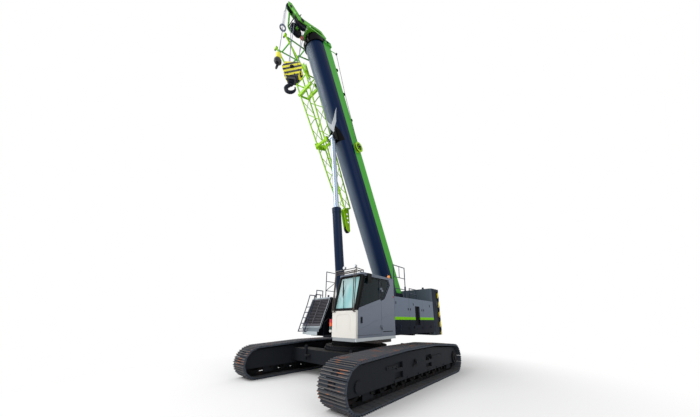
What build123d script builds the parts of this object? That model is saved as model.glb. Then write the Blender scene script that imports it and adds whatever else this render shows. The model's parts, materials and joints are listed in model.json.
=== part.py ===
"""Telescopic crawler crane: tracks, slewing upper, cab, five-section boom, hooks and stowed jib.

Frame: origin on the ground at the slewing axis, front -Y, cab side +X, up +Z. Millimetres.
Boom pieces are drawn lying along -Y with the foot pin at the origin, then raised to BOOM_ANGLE.
In that lying frame a "station" is a distance out along the boom, and a "drop" is a distance
below the foot pin, towards the boom's underside.
"""
import os
from math import asin, atan2, ceil, cos, hypot, pi, radians, sin

from build123d import *

# ---------------------------------------------------------------- driving sizes
# Crawlers
GAUGE = 4300.0            # between the two track centres
SHOE_WIDTH = 800.0
SHOE_PLATE = 40.0         # thickness of a shoe's plate
SHOE_RIB = 24.0           # height of the rib across a shoe
SHOE_GAP = 26.0           # open joint between two shoes
SHOE_COUNT = 62
LINK_HEIGHT = 96.0        # chain links between the shoes and the wheels
LINK_WIDTH = 230.0
IDLER_Y, IDLER_R = -2620.0, 330.0
SPROCKET_Y, SPROCKET_R = 2610.0, 310.0
CARRIER_YS = (-760.0, 980.0)
CARRIER_R = 95.0
CARRIER_TOP = 905.0       # where the chain's inner side runs over the carrier rollers
ROLLER_R = 115.0
ROLLER_COUNT = 10
ROLLER_SPAN = 4150.0
ARC_STEP = 12.0           # degrees turned by each flat where the loop goes round a wheel
SEAT_GAP = 0.3            # running gap between a piece and what it sits on
FRAME_PLATE = 60.0        # side plates of a track frame
FRAME_HALF = 285.0        # half the width of a track frame
FRAME_LOW = 330.0
FRAME_CLEAR = 45.0        # between the side plates' edge and the shoes
FRAME_DECK_Z = 600.0      # top of the deck between the side plates
SHOE_BACK = 8.0           # from a shoe's plate to the chain's outer side
AXLE_R = 45.0
DRIVE_R = 235.0           # final drive beside the sprocket

CHAIN_FLOOR = SHOE_RIB + SHOE_PLATE + LINK_HEIGHT   # chain's upper side on the ground run
IDLER_Z = CHAIN_FLOOR + IDLER_R
SPROCKET_Z = CHAIN_FLOOR + SPROCKET_R

# Carbody and slewing ring
BEAM_YS = (-1080.0, 1080.0)
BEAM_DEPTH = 520.0
BEAM_LOW, BEAM_TOP = 430.0, 830.0
BEAM_FLANGE = 40.0        # plates at the cross beams' ends, against the side frames
DRUM_R = 1080.0
DRUM_TOP = 960.0
RING_R, RING_BORE = 850.0, 660.0
RING_TOP = 1236.0
DECK_Z = 1236.3           # underside of the slewing frame
TIE_X, TIE_Z = 900.0, 650.0           # tie-down lugs on the cross beams
TIE_PLATE, TIE_OUT, TIE_R, TIE_BORE_R = 40.0, 90.0, 80.0, 35.0

# Slewing frame
DECK_PLATE = 60.0
PIVOT_Y, PIVOT_Z = 2304.0, 2478.0
PIVOT_R = 110.0
PIN_GAP = 1.0
CHEEK_INNER = 425.0
CHEEK_PLATE = 45.0
DECK_FRONT, DECK_REAR = -1150.0, 3300.0

# Cab
CAB_X0, CAB_X1 = 560.0, 1510.0
CAB_FRONT, CAB_REAR = -1675.0, 250.0
CAB_LOW = DECK_Z + DECK_PLATE
CAB_WAIST, CAB_ROOF = 2040.0, 3150.0
CAB_BROW = -1390.0        # front edge of the roof
CAB_WALL = 50.0
DOOR_SEAM = -500.0
DOOR_GAP = 8.0
DOOR_LOW = 1370.0
HINGE_OUT = 35.0          # hinge line outside the door's face
GLASS = 8.0

# House behind the cab and opposite it
HOUSE_X = 1510.0
HOOD_INNER = 560.0
HOOD_FRONT, HOOD_REAR = 262.0, 3290.0
HOOD_LOW, HOOD_TOP = 1240.0, 2560.0
BOX_INNER = 480.0
GRILLE_TOP_Y, GRILLE_LOW_Y = -820.0, -1240.0
GRILLE_TOP_Z, GRILLE_LOW_Z = 2560.0, 1560.0

# Counterweight
CW_FRONT, CW_REAR = 3300.0, 4130.0
CW_LOW, CW_SPLIT, CW_TOP = 1170.0, 2500.0, 3150.0
CW_HALF = 1500.0

# Boom
BOOM_ANGLE = 64.34
SECTION_COUNT = 5
SECTION_WIDTH = 800.0
SECTION_ROOF = 500.0      # roof above the foot pin's line
SECTION_DROP = 450.0      # lowest line of the rounded underside
SECTION_WALL = 20.0
SECTION_PLAY = 22.0       # gap all round between two sections
TUBE_REAR, TUBE_LENGTH = 420.0, 11140.0
TUBE_FRONT = TUBE_REAR + TUBE_LENGTH
INNER_REAR = 620.0
COLLAR_STEP = 70.0        # how far each section stands out of the one around it
COLLAR_LENGTH, COLLAR_THIN = 150.0, 40.0
COLLAR_RIM = 50.0
INNER_FRONT = TUBE_FRONT + COLLAR_STEP * (SECTION_COUNT - 1)   # where the head begins
STROKE = 8750.0
PAD_LENGTH, PAD_HEIGHT, PAD_GAP = 180.0, 260.0, 0.6

# Lift cylinder
FOOT_Y, FOOT_Z = -693.0, 1615.0
LUG_STATION, LUG_DROP = 7460.0, 640.0
LUG_BACK = 120.0          # how far the lug plates reach behind their pin
BARREL_R, BARREL_BORE, BARREL_LENGTH = 165.0, 130.0, 4270.0
BARREL_COLLAR = 8.0       # the gland stands this far out of the barrel
ROD_R, ROD_LENGTH = 96.0, 4180.0
EYE_R, EYE_PIN_R = 128.0, 60.0
EYE_HALF = 110.0

# Head, sheaves and hooks
HEAD_HALF = 300.0
HEAD_PLATE = 30.0
SHEAVE_OUT, SHEAVE_DROP, SHEAVE_R = 90.0, 740.0, 235.0       # out from the head's foot
NOSE_OUT, NOSE_DROP, NOSE_R = 720.0, 900.0, 160.0
SHEAVE_STATION, NOSE_STATION = INNER_FRONT + SHEAVE_OUT, INNER_FRONT + NOSE_OUT
SHEAVE_XS = (-210.0, -130.0, 130.0, 210.0)
FALL_XS = (-130.0, 130.0)  # the two sheaves that carry the main falls
NOSE_HALF, NOSE_PLATE = 60.0, 25.0
SHEAVE_PIN_R = 50.0
ROPE_R = 10.0
GROOVE_R, GROOVE_RISE = 20.0, 8.0     # a groove's section and its centre's height over the rim
ROPE_GAP = 0.8            # between a rope and the bottom of its groove
SHEAVE_SIDES, GROOVE_SIDE = 24, 8.0   # flats of a sheave, and a rope's room beside it in the groove
ROPE_OUT = GROOVE_RISE - GROOVE_R + ROPE_GAP + ROPE_R   # a rope's centre outside the rim
BLOCK_TOP_Z, BLOCK_LOW_Z = 10800.0, 9960.0
BLOCK_HALF, BLOCK_CORE, BLOCK_CHEEK = 360.0, 95.0, 40.0
BLOCK_TURN = -45.0        # the block hangs turned about its line
FALL_SPREAD = 150.0       # half the distance between the falls at the block
HOOK_LOW_Z = 9380.0
BALL_TOP_Z, BALL_Z, BALL_R = 10830.0, 10330.0, 125.0
AUX_HOOK_LOW_Z = 9960.0
RING_WEIGHT_Z = 12060.0

# Stowed jib
JIB_X0, JIB_X1 = -500.0, -1180.0      # chords next to the boom and away from it, at the root
JIB_TIP_X0, JIB_TIP_X1 = -640.0, -960.0
JIB_DROP0, JIB_DROP1 = 0.0, 500.0
JIB_LENGTH, JIB_BACK = 5850.0, 1060.0     # its length, and how far its root lies behind the tube's front
JIB_ROOT = TUBE_FRONT - JIB_BACK
JIB_TIP = JIB_ROOT - JIB_LENGTH
JIB_LUG_STATION = TUBE_FRONT + 290.0
JIB_NOSE_OUT, JIB_NOSE_DROP = 910.0, 520.0  # tip sheave's pin beyond the lattice
JIB_LUG_DROPS = (20.0, 1050.0)
CHORD_R, LACING_R = 32.0, 17.0
JIB_BAYS = 9
BRACKETS = ((3050.0, 130.0, 90.0), (5400.0, 45.0, 0.0))   # out from the jib's tip, half length, web
LACING_SHORT = 42.0       # a lacing bar's end keeps this far from the chord's joint line

os.makedirs("parts", exist_ok=True)


# ---------------------------------------------------------------- helpers
def save(node, *solids):
    """Write one node's solids as parts/NODE.step."""
    whole = solids[0] if len(solids) == 1 else Compound(children=list(solids))
    export_step(whole, f"parts/{node}.step")


def box(x0, x1, y0, y1, z0, z1):
    """A block between two corners."""
    size = (abs(x1 - x0), abs(y1 - y0), abs(z1 - z0))
    return Pos((x0 + x1) / 2, (y0 + y1) / 2, (z0 + z1) / 2) * Box(*size)


def rod(start, end, radius):
    """A round bar from one point to another."""
    line = Vector(*end) - Vector(*start)
    return Plane(origin=start, z_dir=line) * Cylinder(
        radius, line.length, align=(Align.CENTER, Align.CENTER, Align.MIN))


def flat_bar(start, end, radius, sides):
    """A straight bar with flat sides, from one point to another."""
    line = Vector(*end) - Vector(*start)
    return extrude(Plane(origin=start, z_dir=line) * RegularPolygon(radius, sides), amount=line.length)


def flat_x(x0, x1, y, z, radius, sides=16):
    """A bar with flat sides along X."""
    return flat_bar((x0, y, z), (x1, y, z), radius, sides)


def fuse(pieces):
    """Join a list of pieces into one."""
    whole = pieces[0]
    for piece in pieces[1:]:
        whole += piece
    return whole


def cut_low(points, low):
    """The part of a closed (y, z) outline above a height."""
    kept = []
    for a, b in zip(points, points[1:] + points[:1]):
        if a[1] >= low:
            kept.append(a)
        if (a[1] - low) * (b[1] - low) < 0:
            t = (low - a[1]) / (b[1] - a[1])
            kept.append((a[0] + (b[0] - a[0]) * t, low))
    return kept


def bar_x(x0, x1, y, z, radius):
    """A round bar along X."""
    return rod((x0, y, z), (x1, y, z), radius)


def side_plate(points, x0, x1):
    """An outline of (y, z) points, filled between two X planes."""
    outline = make_face(Polyline(*[(x0, y, z) for y, z in points], close=True))
    return extrude(outline, amount=abs(x1 - x0), dir=(1 if x1 > x0 else -1, 0, 0))


def raise_boom(shape):
    """Move a piece drawn lying along -Y to the boom's angle at its foot pin."""
    return Pos(0, PIVOT_Y, PIVOT_Z) * Rot(-BOOM_ANGLE, 0, 0) * shape


def boom_point(x, station, drop):
    """The place of a boom point in the machine's frame."""
    angle = radians(BOOM_ANGLE)
    y = PIVOT_Y - station * cos(angle) - drop * sin(angle)
    z = PIVOT_Z + station * sin(angle) - drop * cos(angle)
    return (x, y, z)


# ---------------------------------------------------------------- crawlers
def loop_outline(inset):
    """Closed (y, z) outline around the wheels, at a distance inside the shoes' ribs."""
    build_up = CHAIN_FLOOR - inset
    wheels = [
        (IDLER_Y, IDLER_Z, IDLER_R + build_up),
        (CARRIER_YS[0], CARRIER_TOP - CARRIER_R, CARRIER_R + build_up),
        (CARRIER_YS[1], CARRIER_TOP - CARRIER_R, CARRIER_R + build_up),
        (SPROCKET_Y, SPROCKET_Z, SPROCKET_R + build_up),
    ]
    # Directions from +Y towards +Z in which the path leaves the round part of each wheel.
    leaving = []
    for (y0, z0, r0), (y1, z1, r1) in zip(wheels, wheels[1:]):
        slope = atan2(z1 - z0, y1 - y0)
        leaving.append(slope + pi / 2 + asin((r1 - r0) / hypot(y1 - y0, z1 - z0)))
    arriving = [3 * pi / 2] + leaving
    leaving.append(-pi / 2)
    points = []
    for (y, z, r), begin, end in zip(wheels, arriving, leaving):
        count = max(1, ceil((begin - end) / radians(ARC_STEP)))
        step = (begin - end) / count
        reach = r / cos(step / 2)          # flats that touch the true circle from outside
        for k in range(count):
            angle = begin - step * (k + 0.5)
            points.append((y + reach * cos(angle), z + reach * sin(angle)))
    return points


def resample(points, count):
    """Even points and unit tangents around a closed outline."""
    closed = points + [points[0]]
    lengths = [hypot(b[0] - a[0], b[1] - a[1]) for a, b in zip(closed, closed[1:])]
    total = sum(lengths)
    found, walked, edge = [], 0.0, 0
    for k in range(count):
        target = total * k / count
        while walked + lengths[edge] < target:
            walked += lengths[edge]
            edge += 1
        a, b = closed[edge], closed[edge + 1]
        t = (target - walked) / lengths[edge]
        found.append((a[0] + (b[0] - a[0]) * t, a[1] + (b[1] - a[1]) * t))
    return found


def shoe_outline():
    """The loop's outer outline: each shoe is a flat plate with one rib across it."""
    base = resample(loop_outline(SHOE_RIB + SHOE_PLATE), SHOE_COUNT)
    outline = []
    for k, a in enumerate(base):
        b = base[(k + 1) % SHOE_COUNT]
        length = hypot(b[0] - a[0], b[1] - a[1])
        t = ((b[0] - a[0]) / length, (b[1] - a[1]) / length)
        n = (-t[1], t[0])          # outwards, as the outline runs clockwise seen from +X
        half = SHOE_GAP / 2
        rib = length * 0.22
        profile = [  # along the shoe, out from the joint line
            (half, 0.0), (half, SHOE_PLATE), (rib, SHOE_PLATE), (rib + 14, SHOE_PLATE + SHOE_RIB),
            (rib + 44, SHOE_PLATE + SHOE_RIB), (rib + 58, SHOE_PLATE),
            (length - half, SHOE_PLATE), (length - half, 0.0),
        ]
        outline += [(a[0] + t[0] * u + n[0] * v, a[1] + t[1] * u + n[1] * v) for u, v in profile]
    return outline


def track_loop(centre):
    """One closed track: shoes over a narrower chain."""
    half = SHOE_WIDTH / 2
    shoe_inside = loop_outline(SHOE_RIB + SHOE_PLATE + SHOE_BACK)
    chain_inside = loop_outline(SHOE_RIB + SHOE_PLATE + LINK_HEIGHT)
    shoes = side_plate(shoe_outline(), centre - half, centre + half)
    shoes -= side_plate(shoe_inside, centre - half - 1, centre + half + 1)
    links = side_plate(loop_outline(SHOE_RIB + SHOE_PLATE + 2),
                       centre - LINK_WIDTH / 2, centre + LINK_WIDTH / 2)
    links -= side_plate(chain_inside, centre - half, centre + half)
    return shoes + links


FRAME_WINDOWS = ((-1270.0, -900.0, 390.0, 540.0), (-1270.0, -900.0, 620.0, 760.0),
                 (400.0, 770.0, 430.0, 540.0), (400.0, 770.0, 620.0, 770.0))
STEP_BARS = ((-1640.0, -1170.0), (760.0, 1500.0))    # y of the lashing bars on the outer side
STEP_Z, STEP_HALF, STEP_PLATE, STEP_HOLE_R = 680.0, 32.0, 30.0, 17.0
IDLER_BOSS_R, IDLER_BOSS = 110.0, 40.0


def track_frame(centre, outward):
    """Side frame: two plates that fill the loop, joined by a deck over the track rollers."""
    half, slot = FRAME_HALF, FRAME_HALF - FRAME_PLATE
    outline = cut_low(loop_outline(SHOE_RIB + SHOE_PLATE + SHOE_BACK + FRAME_CLEAR), FRAME_LOW)
    pieces = [side_plate(outline, centre + side * slot, centre + side * half) for side in (-1, 1)]
    pieces.append(box(centre - slot, centre + slot, IDLER_Y + IDLER_R + 90, SPROCKET_Y - SPROCKET_R - 90,
                      FRAME_DECK_Z - 40, FRAME_DECK_Z))
    face = centre + outward * half
    pieces.append(flat_x(face, face + outward * IDLER_BOSS, IDLER_Y, IDLER_Z, IDLER_BOSS_R))
    pieces.append(side_plate([(-400, 570), (-140, 570), (-270, 740)], face, face + outward * 35))
    for y0, y1 in STEP_BARS:
        bar = box(face, face + outward * STEP_PLATE, y0, y1, STEP_Z - STEP_HALF, STEP_Z + STEP_HALF)
        for y in (y0 + 60, (y0 + y1) / 2, y1 - 60):
            bar -= flat_x(face, face + outward * (STEP_PLATE + 1), y, STEP_Z, STEP_HOLE_R, 8)
        pieces.append(bar)
    frame = fuse(pieces)
    for y0, y1, z0, z1 in FRAME_WINDOWS:
        frame -= box(centre - half - 1, centre + half + 1, y0, y1, z0, z1)
    return frame - flat_x(centre - half - 1, centre + half + 1, SPROCKET_Y, SPROCKET_Z, DRIVE_R + SEAT_GAP, 24)


def idler(centre):
    """Front idler: rim, web and hub on an axle that ends at the frame's plates."""
    half = LINK_WIDTH / 2 + 15
    rim = flat_x(centre - half, centre + half, IDLER_Y, IDLER_Z, IDLER_R - SEAT_GAP, 24)
    for side in (-1, 1):
        rim -= flat_x(centre + side * 40, centre + side * (half + 1), IDLER_Y, IDLER_Z, IDLER_R - 70, 24)
    reach = FRAME_HALF - FRAME_PLATE
    return rim + flat_x(centre - reach, centre + reach, IDLER_Y, IDLER_Z, 90)


TOOTH_COUNT, TOOTH_DEPTH = 18, 34.0


def sprocket(centre, outward):
    """Rear sprocket with its teeth, and a stepped final drive that stands out of the outer side."""
    half = LINK_WIDTH / 2 - 30
    outline = []
    for k in range(TOOTH_COUNT * 4):
        angle = 2 * pi * (k + 0.5) / (TOOTH_COUNT * 4)
        r = SPROCKET_R - SEAT_GAP - (TOOTH_DEPTH if k % 4 > 1 else 0)
        outline.append((SPROCKET_Y + r * cos(angle), SPROCKET_Z + r * sin(angle)))
    outer = FRAME_HALF
    return fuse([
        side_plate(outline, centre - half, centre + half),
        flat_x(centre - outward * 300, centre + outward * outer, SPROCKET_Y, SPROCKET_Z, DRIVE_R, 24),
        flat_x(centre + outward * outer, centre + outward * (outer + 45), SPROCKET_Y, SPROCKET_Z, 185),
        flat_x(centre + outward * outer, centre + outward * (outer + 75), SPROCKET_Y, SPROCKET_Z, 80)])


def rollers(centre):
    """Track rollers along the bottom and two carrier rollers above."""
    reach = FRAME_HALF - FRAME_PLATE
    places = [(-ROLLER_SPAN / 2 + ROLLER_SPAN * k / (ROLLER_COUNT - 1), CHAIN_FLOOR + SEAT_GAP + ROLLER_R,
               150, ROLLER_R) for k in range(ROLLER_COUNT)]
    places += [(y, CARRIER_TOP - CARRIER_R, 120, CARRIER_R - SEAT_GAP) for y in CARRIER_YS]
    return [flat_x(centre - half, centre + half, y, z, radius, 12)
            + flat_x(centre - reach, centre + reach, y, z, AXLE_R, 8) for y, z, half, radius in places]


for label, side in (("left", 1), ("right", -1)):
    centre = side * GAUGE / 2
    save(f"track_loop_{label}", track_loop(centre))
    save(f"track_frame_{label}", track_frame(centre, side))
    save(f"track_wheels_{label}", idler(centre), sprocket(centre, side), *rollers(centre))

# ---------------------------------------------------------------- carbody
frame_inner = GAUGE / 2 - FRAME_HALF
POST_X, POST_WIDE, POST_LOW, POST_TOP = 1060.0, 100.0, 560.0, 960.0   # posts on the cross beams
carbody = Pos(0, 0, (BEAM_LOW + DRUM_TOP) / 2) * Cylinder(DRUM_R, DRUM_TOP - BEAM_LOW)
carbody += Pos(0, 0, DRUM_TOP - 90) * Cylinder(DRUM_R + 45, 40)
for y in BEAM_YS:
    beam = [(y - BEAM_DEPTH / 2, BEAM_LOW), (y - BEAM_DEPTH / 2, BEAM_TOP), (y + BEAM_DEPTH / 2, BEAM_TOP),
            (y + BEAM_DEPTH / 2, BEAM_LOW)]
    carbody += side_plate(beam, -frame_inner, frame_inner)
    face = y + (BEAM_DEPTH / 2 if y > 0 else -BEAM_DEPTH / 2)
    out = 60 if y > 0 else -60
    for side in (-1, 1):
        carbody += box(side * frame_inner, side * (frame_inner - BEAM_FLANGE), y - BEAM_DEPTH / 2 - 40,
                       y + BEAM_DEPTH / 2 + 40, BEAM_LOW - 30, BEAM_TOP + 40)
        carbody += box(side * (POST_X - POST_WIDE / 2), side * (POST_X + POST_WIDE / 2), face, face + out,
                       POST_LOW, POST_TOP)
        carbody += side_plate([(face + out, POST_LOW), (face, POST_LOW), (face, 470)],
                              side * (POST_X - 15), side * (POST_X + 15))
for x in (-TIE_X, TIE_X):
    for side in (-1, 1):
        face = side * (BEAM_YS[1] + BEAM_DEPTH / 2)
        eye_y = face + side * TIE_OUT
        z_low, z_high = TIE_Z - TIE_PLATE / 2, TIE_Z + TIE_PLATE / 2
        eye = box(x - TIE_R, x + TIE_R, face, eye_y, z_low, z_high)
        eye += rod((x, eye_y, z_low), (x, eye_y, z_high), TIE_R)
        carbody += eye - rod((x, eye_y, z_low - 1), (x, eye_y, z_high + 1), TIE_BORE_R)
save("carbody", carbody)

ring = Pos(0, 0, (DRUM_TOP + RING_TOP) / 2) * (
    Cylinder(RING_R, RING_TOP - DRUM_TOP) - Cylinder(RING_BORE, RING_TOP - DRUM_TOP + 2))
save("slew_ring", ring)

# ---------------------------------------------------------------- slewing frame
deck = box(-CHEEK_INNER - CHEEK_PLATE, CHEEK_INNER + CHEEK_PLATE, DECK_FRONT, DECK_REAR,
           DECK_Z, DECK_Z + DECK_PLATE)
deck += Pos(0, 0, DECK_Z + DECK_PLATE / 2) * Cylinder(RING_R + 60, DECK_PLATE)
cheek = [(DECK_FRONT, DECK_Z), (DECK_FRONT, 1700), (-950, 1850), (-300, 1850), (1500, 2450),
         (2050, 2760), (2560, 2760), (2750, 2450), (DECK_REAR, 2250), (DECK_REAR, DECK_Z)]
for side in (-1, 1):
    x0, x1 = side * CHEEK_INNER, side * (CHEEK_INNER + CHEEK_PLATE)
    deck += side_plate(cheek, x0, x1)
    deck += bar_x(side * (EYE_HALF + 60 + 6), side * CHEEK_INNER, FOOT_Y, FOOT_Z, 150)
deck -= bar_x(-600, 600, PIVOT_Y, PIVOT_Z, PIVOT_R + PIN_GAP)
deck -= bar_x(-600, 600, FOOT_Y, FOOT_Z, EYE_PIN_R + PIN_GAP)
# arms that carry the cab on one side and the house on the other
for x0, x1 in ((CHEEK_INNER + CHEEK_PLATE, CAB_X1 - 60), (-CHEEK_INNER - CHEEK_PLATE, -HOUSE_X + 60)):
    for y0 in (-900.0, 120.0, 1500.0, 2900.0):
        deck += box(x0, x1, y0, y0 + 160, DECK_Z - 0.0, DECK_Z + DECK_PLATE)
save("slewing_frame", deck)

# ---------------------------------------------------------------- cab
def cab_outline(inset=0.0):
    """Side outline of the cab as (y, z) points, moved inwards by a wall."""
    rake = (CAB_BROW - CAB_FRONT) / (CAB_ROOF - CAB_WAIST)
    top = CAB_ROOF - inset
    lean = inset * hypot(1, rake)
    return [
        (CAB_REAR - inset, CAB_LOW + inset), (CAB_REAR - inset, top),
        (CAB_BROW + lean - rake * inset, top), (CAB_FRONT + lean, CAB_WAIST),
        (CAB_FRONT + inset, CAB_LOW + inset),
    ]


def door_outline():
    """Outline of the door in the cab's side: its front edge follows the windscreen post."""
    front = CAB_FRONT + 45
    return [
        (DOOR_SEAM, DOOR_LOW), (DOOR_SEAM, CAB_ROOF - 75), (CAB_BROW + 60, CAB_ROOF - 75),
        (front, CAB_WAIST - 20), (front, DOOR_LOW),
    ]


cab = side_plate(cab_outline(), CAB_X0, CAB_X1)
cab -= side_plate(cab_outline(CAB_WALL), CAB_X0 + CAB_WALL, CAB_X1 - CAB_WALL)
door_leaf = side_plate(door_outline(), CAB_X1 - CAB_WALL, CAB_X1)
door_hole = side_plate([
    (DOOR_SEAM + DOOR_GAP, DOOR_LOW - DOOR_GAP), (DOOR_SEAM + DOOR_GAP, CAB_ROOF - 75 + DOOR_GAP),
    (CAB_BROW + 60 - DOOR_GAP, CAB_ROOF - 75 + DOOR_GAP), (CAB_FRONT + 45 - DOOR_GAP, CAB_WAIST - 20),
    (CAB_FRONT + 45 - DOOR_GAP, DOOR_LOW - DOOR_GAP)], CAB_X1 - CAB_WALL - 1, CAB_X1 + 1)
cab -= door_hole
pillar = 45.0
rear_window = side_plate([(-DOOR_GAP + DOOR_SEAM + pillar, 2400), (DOOR_SEAM + pillar, 3040), (-90, 3050),
                          (-20, 2900), (-330, 2470)], CAB_X1 - CAB_WALL - 1, CAB_X1 + 1)
cab -= rear_window
far_window = side_plate([(-1560, 2120), (-1300, 3000), (-20, 3000), (-20, 2120)],
                        CAB_X0 - 1, CAB_X0 + CAB_WALL + 1)
cab -= far_window
back_window = box(CAB_X0 + 120, CAB_X1 - 120, CAB_REAR - CAB_WALL - 1, CAB_REAR + 1, 2200, 2950)
cab -= back_window
# windscreen opening, square to the raked front
screen_cut = side_plate([
    (CAB_FRONT - 120, CAB_WAIST + 60), (CAB_FRONT + 120, CAB_WAIST + 60),
    (CAB_BROW + 120, CAB_ROOF - 130), (CAB_BROW - 120, CAB_ROOF - 130)], CAB_X0 + 100, CAB_X1 - 75)
cab -= screen_cut

# glass, in the middle of each wall
def pane_x(x_mid, points):
    """A pane across X."""
    return side_plate(points, x_mid - GLASS / 2, x_mid + GLASS / 2)


mid_wall = CAB_WALL / 2
near_x = CAB_X1 - mid_wall
rear_pane = pane_x(near_x, [(-DOOR_GAP + DOOR_SEAM + pillar, 2400), (DOOR_SEAM + pillar, 3040),
                            (-90, 3050), (-20, 2900), (-330, 2470)])
far_pane = pane_x(CAB_X0 + mid_wall, [(-1560, 2120), (-1300, 3000), (-20, 3000), (-20, 2120)])
back_pane = box(CAB_X0 + 120, CAB_X1 - 120, CAB_REAR - mid_wall - GLASS / 2,
                CAB_REAR - mid_wall + GLASS / 2, 2200, 2950)
slope = (CAB_BROW - CAB_FRONT) / (CAB_ROOF - CAB_WAIST)


def screen_y(z, depth):
    """Y of a plane at a depth behind the raked front face."""
    return CAB_FRONT + slope * (z - CAB_WAIST) + depth * hypot(1, slope)


z0, z1 = CAB_WAIST + 60, CAB_ROOF - 130
screen = side_plate([
    (screen_y(z0, mid_wall - GLASS / 2), z0), (screen_y(z0, mid_wall + GLASS / 2), z0),
    (screen_y(z1, mid_wall + GLASS / 2), z1), (screen_y(z1, mid_wall - GLASS / 2), z1)],
    CAB_X0 + 100, CAB_X1 - 75)
save("cab_glass", rear_pane, far_pane, back_pane, screen)

# door with its window and glass
door_window = [(-1545, 2100), (-1270, 2990), (DOOR_SEAM - pillar, 3010), (DOOR_SEAM - pillar, 2400)]
door = door_leaf - side_plate(door_window, CAB_X1 - CAB_WALL - 1, CAB_X1 + 1)
handle = box(CAB_X1, CAB_X1 + 22, -1490, -1420, 1690, 1860)
hinge_y, hinge_x = DOOR_SEAM + DOOR_GAP / 2, CAB_X1 + HINGE_OUT
HINGE_ZS = (1560.0, 2700.0)
HINGE_HALF, HINGE_R, HINGE_PIN_R = 60.0, 16.0, 7.0
for z in HINGE_ZS:
    knuckle = rod((hinge_x, hinge_y, z), (hinge_x, hinge_y, z + HINGE_HALF), HINGE_R)
    leaf = box(CAB_X1, hinge_x, hinge_y - 70, hinge_y - 4, z, z + HINGE_HALF)
    door += leaf + knuckle
door += handle
# mirror on an arm from the door's top frame
door += box(CAB_X1, CAB_X1 + 60, -1150, -1120, CAB_ROOF - 125, CAB_ROOF - 100)
door += box(CAB_X1 + 50, CAB_X1 + 75, -1230, -1050, CAB_ROOF - 300, CAB_ROOF - 20)
for z in HINGE_ZS:
    door -= rod((hinge_x, hinge_y, z - 1), (hinge_x, hinge_y, z + HINGE_HALF + 1), HINGE_PIN_R + 1)
save("cab_door", door)
save("cab_door_glass", pane_x(near_x, door_window))
for z in HINGE_ZS:
    knuckle = rod((hinge_x, hinge_y, z - HINGE_HALF - 1), (hinge_x, hinge_y, z - 1), HINGE_R)
    leaf = box(CAB_X1, hinge_x, hinge_y + 4, hinge_y + 70, z - HINGE_HALF - 1, z - 1)
    pin = rod((hinge_x, hinge_y, z - 1), (hinge_x, hinge_y, z + HINGE_HALF), HINGE_PIN_R)
    cab += knuckle + leaf + pin
save("cab_shell", cab)

# what the cab carries outside: screen guard with two lamps, beacon, sill, front box and a box under it
GUARD_R, GUARD_OUT, GUARD_LOW = 14.0, 70.0, CAB_WAIST - 40.0
guard_top, guard_y = CAB_ROOF + 85, CAB_FRONT + 35


def bent(points, radius, sides=8):
    """A tube bent through some points, its bars run on past each bend to close the corner."""
    bars = []
    for k, (a, b) in enumerate(zip(points, points[1:])):
        along = (Vector(*b) - Vector(*a)).normalized() * (radius * 0.6)
        start = Vector(*a) - along if k else Vector(*a)
        end = Vector(*b) + along if k < len(points) - 2 else Vector(*b)
        bars.append(flat_bar(tuple(start), tuple(end), radius, sides))
    return fuse(bars)


guard_xs = (CAB_X0 + 60, CAB_X1 - 20)
guard = fuse([bent([(x, CAB_BROW + 60, CAB_ROOF), (x, CAB_BROW + 60, guard_top - 20), (x, guard_y, guard_top),
                    (x, CAB_FRONT - GUARD_OUT, GUARD_LOW), (x, CAB_FRONT, GUARD_LOW)], GUARD_R) for x in guard_xs]
             + [flat_x(*guard_xs, guard_y, guard_top, GUARD_R, 8)])
for x in (CAB_X1 - 510, CAB_X1 - 70):
    guard += flat_bar((x, guard_y, guard_top), (x, guard_y, guard_top + 30), 8, 8)
    guard += flat_bar((x, guard_y - 35, guard_top + 60), (x, guard_y + 35, guard_top + 60), 45, 12)
beacon = flat_bar((CAB_X1 - 130, CAB_REAR - 100, CAB_ROOF), (CAB_X1 - 130, CAB_REAR - 100, CAB_ROOF + 120), 45, 12)
sill = box(CAB_X1 - 60 + SEAT_GAP, CAB_X1, CAB_FRONT + 20, CAB_REAR, CAB_LOW - 86, CAB_LOW)
front_box = box(CAB_X0 + 30, CAB_X1 - 60, CAB_FRONT + 5, CAB_FRONT + 120, CAB_LOW - 90, CAB_LOW)
under_box = box(RING_R + 50, CAB_X1 - 70, -720, 90, DECK_Z - 126, DECK_Z)
save("cab_fittings", guard, beacon, sill, front_box, under_box)

# seat and consoles
seat_x = (CAB_X0 + CAB_X1) / 2
floor = CAB_LOW + CAB_WALL
seat = box(seat_x - 160, seat_x + 160, -820, -420, floor, floor + 380)
seat += box(seat_x - 250, seat_x + 250, -900, -340, floor + 380, floor + 510)
seat += side_plate([(-430, floor + 480), (-290, floor + 480), (-190, floor + 1130), (-300, floor + 1130)],
                   seat_x - 230, seat_x + 230)
for side in (-1, 1):
    seat += box(seat_x + side * 250, seat_x + side * 350, -980, -420, floor, floor + 600)
save("cab_seat", seat)

# ---------------------------------------------------------------- house
left_hood = box(HOOD_INNER, HOUSE_X, HOOD_FRONT, HOOD_REAR, DECK_Z + DECK_PLATE, HOOD_TOP)
VENT = (1700.0, 2010.0, 1610.0, 2270.0)       # y and z of the louvred vent
VENT_DEEP, LOUVER_COUNT, SEAM_WIDE, SEAM_DEEP = 45.0, 9, 10.0, 8.0
left_hood -= box(HOUSE_X - VENT_DEEP, HOUSE_X + 1, *VENT)
for y in (1240.0, 2300.0):
    left_hood -= box(HOUSE_X - SEAM_DEEP, HOUSE_X + 1, y - SEAM_WIDE / 2, y + SEAM_WIDE / 2, HOOD_LOW, HOOD_TOP + 1)
for k in range(LOUVER_COUNT):
    z = VENT[2] + (VENT[3] - VENT[2]) * (k + 0.5) / LOUVER_COUNT
    left_hood += side_plate([(VENT[0], z - 6), (VENT[1], z - 6), (VENT[1], z + 6), (VENT[0], z + 6)],
                            HOUSE_X - VENT_DEEP, HOUSE_X - 4)
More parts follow.
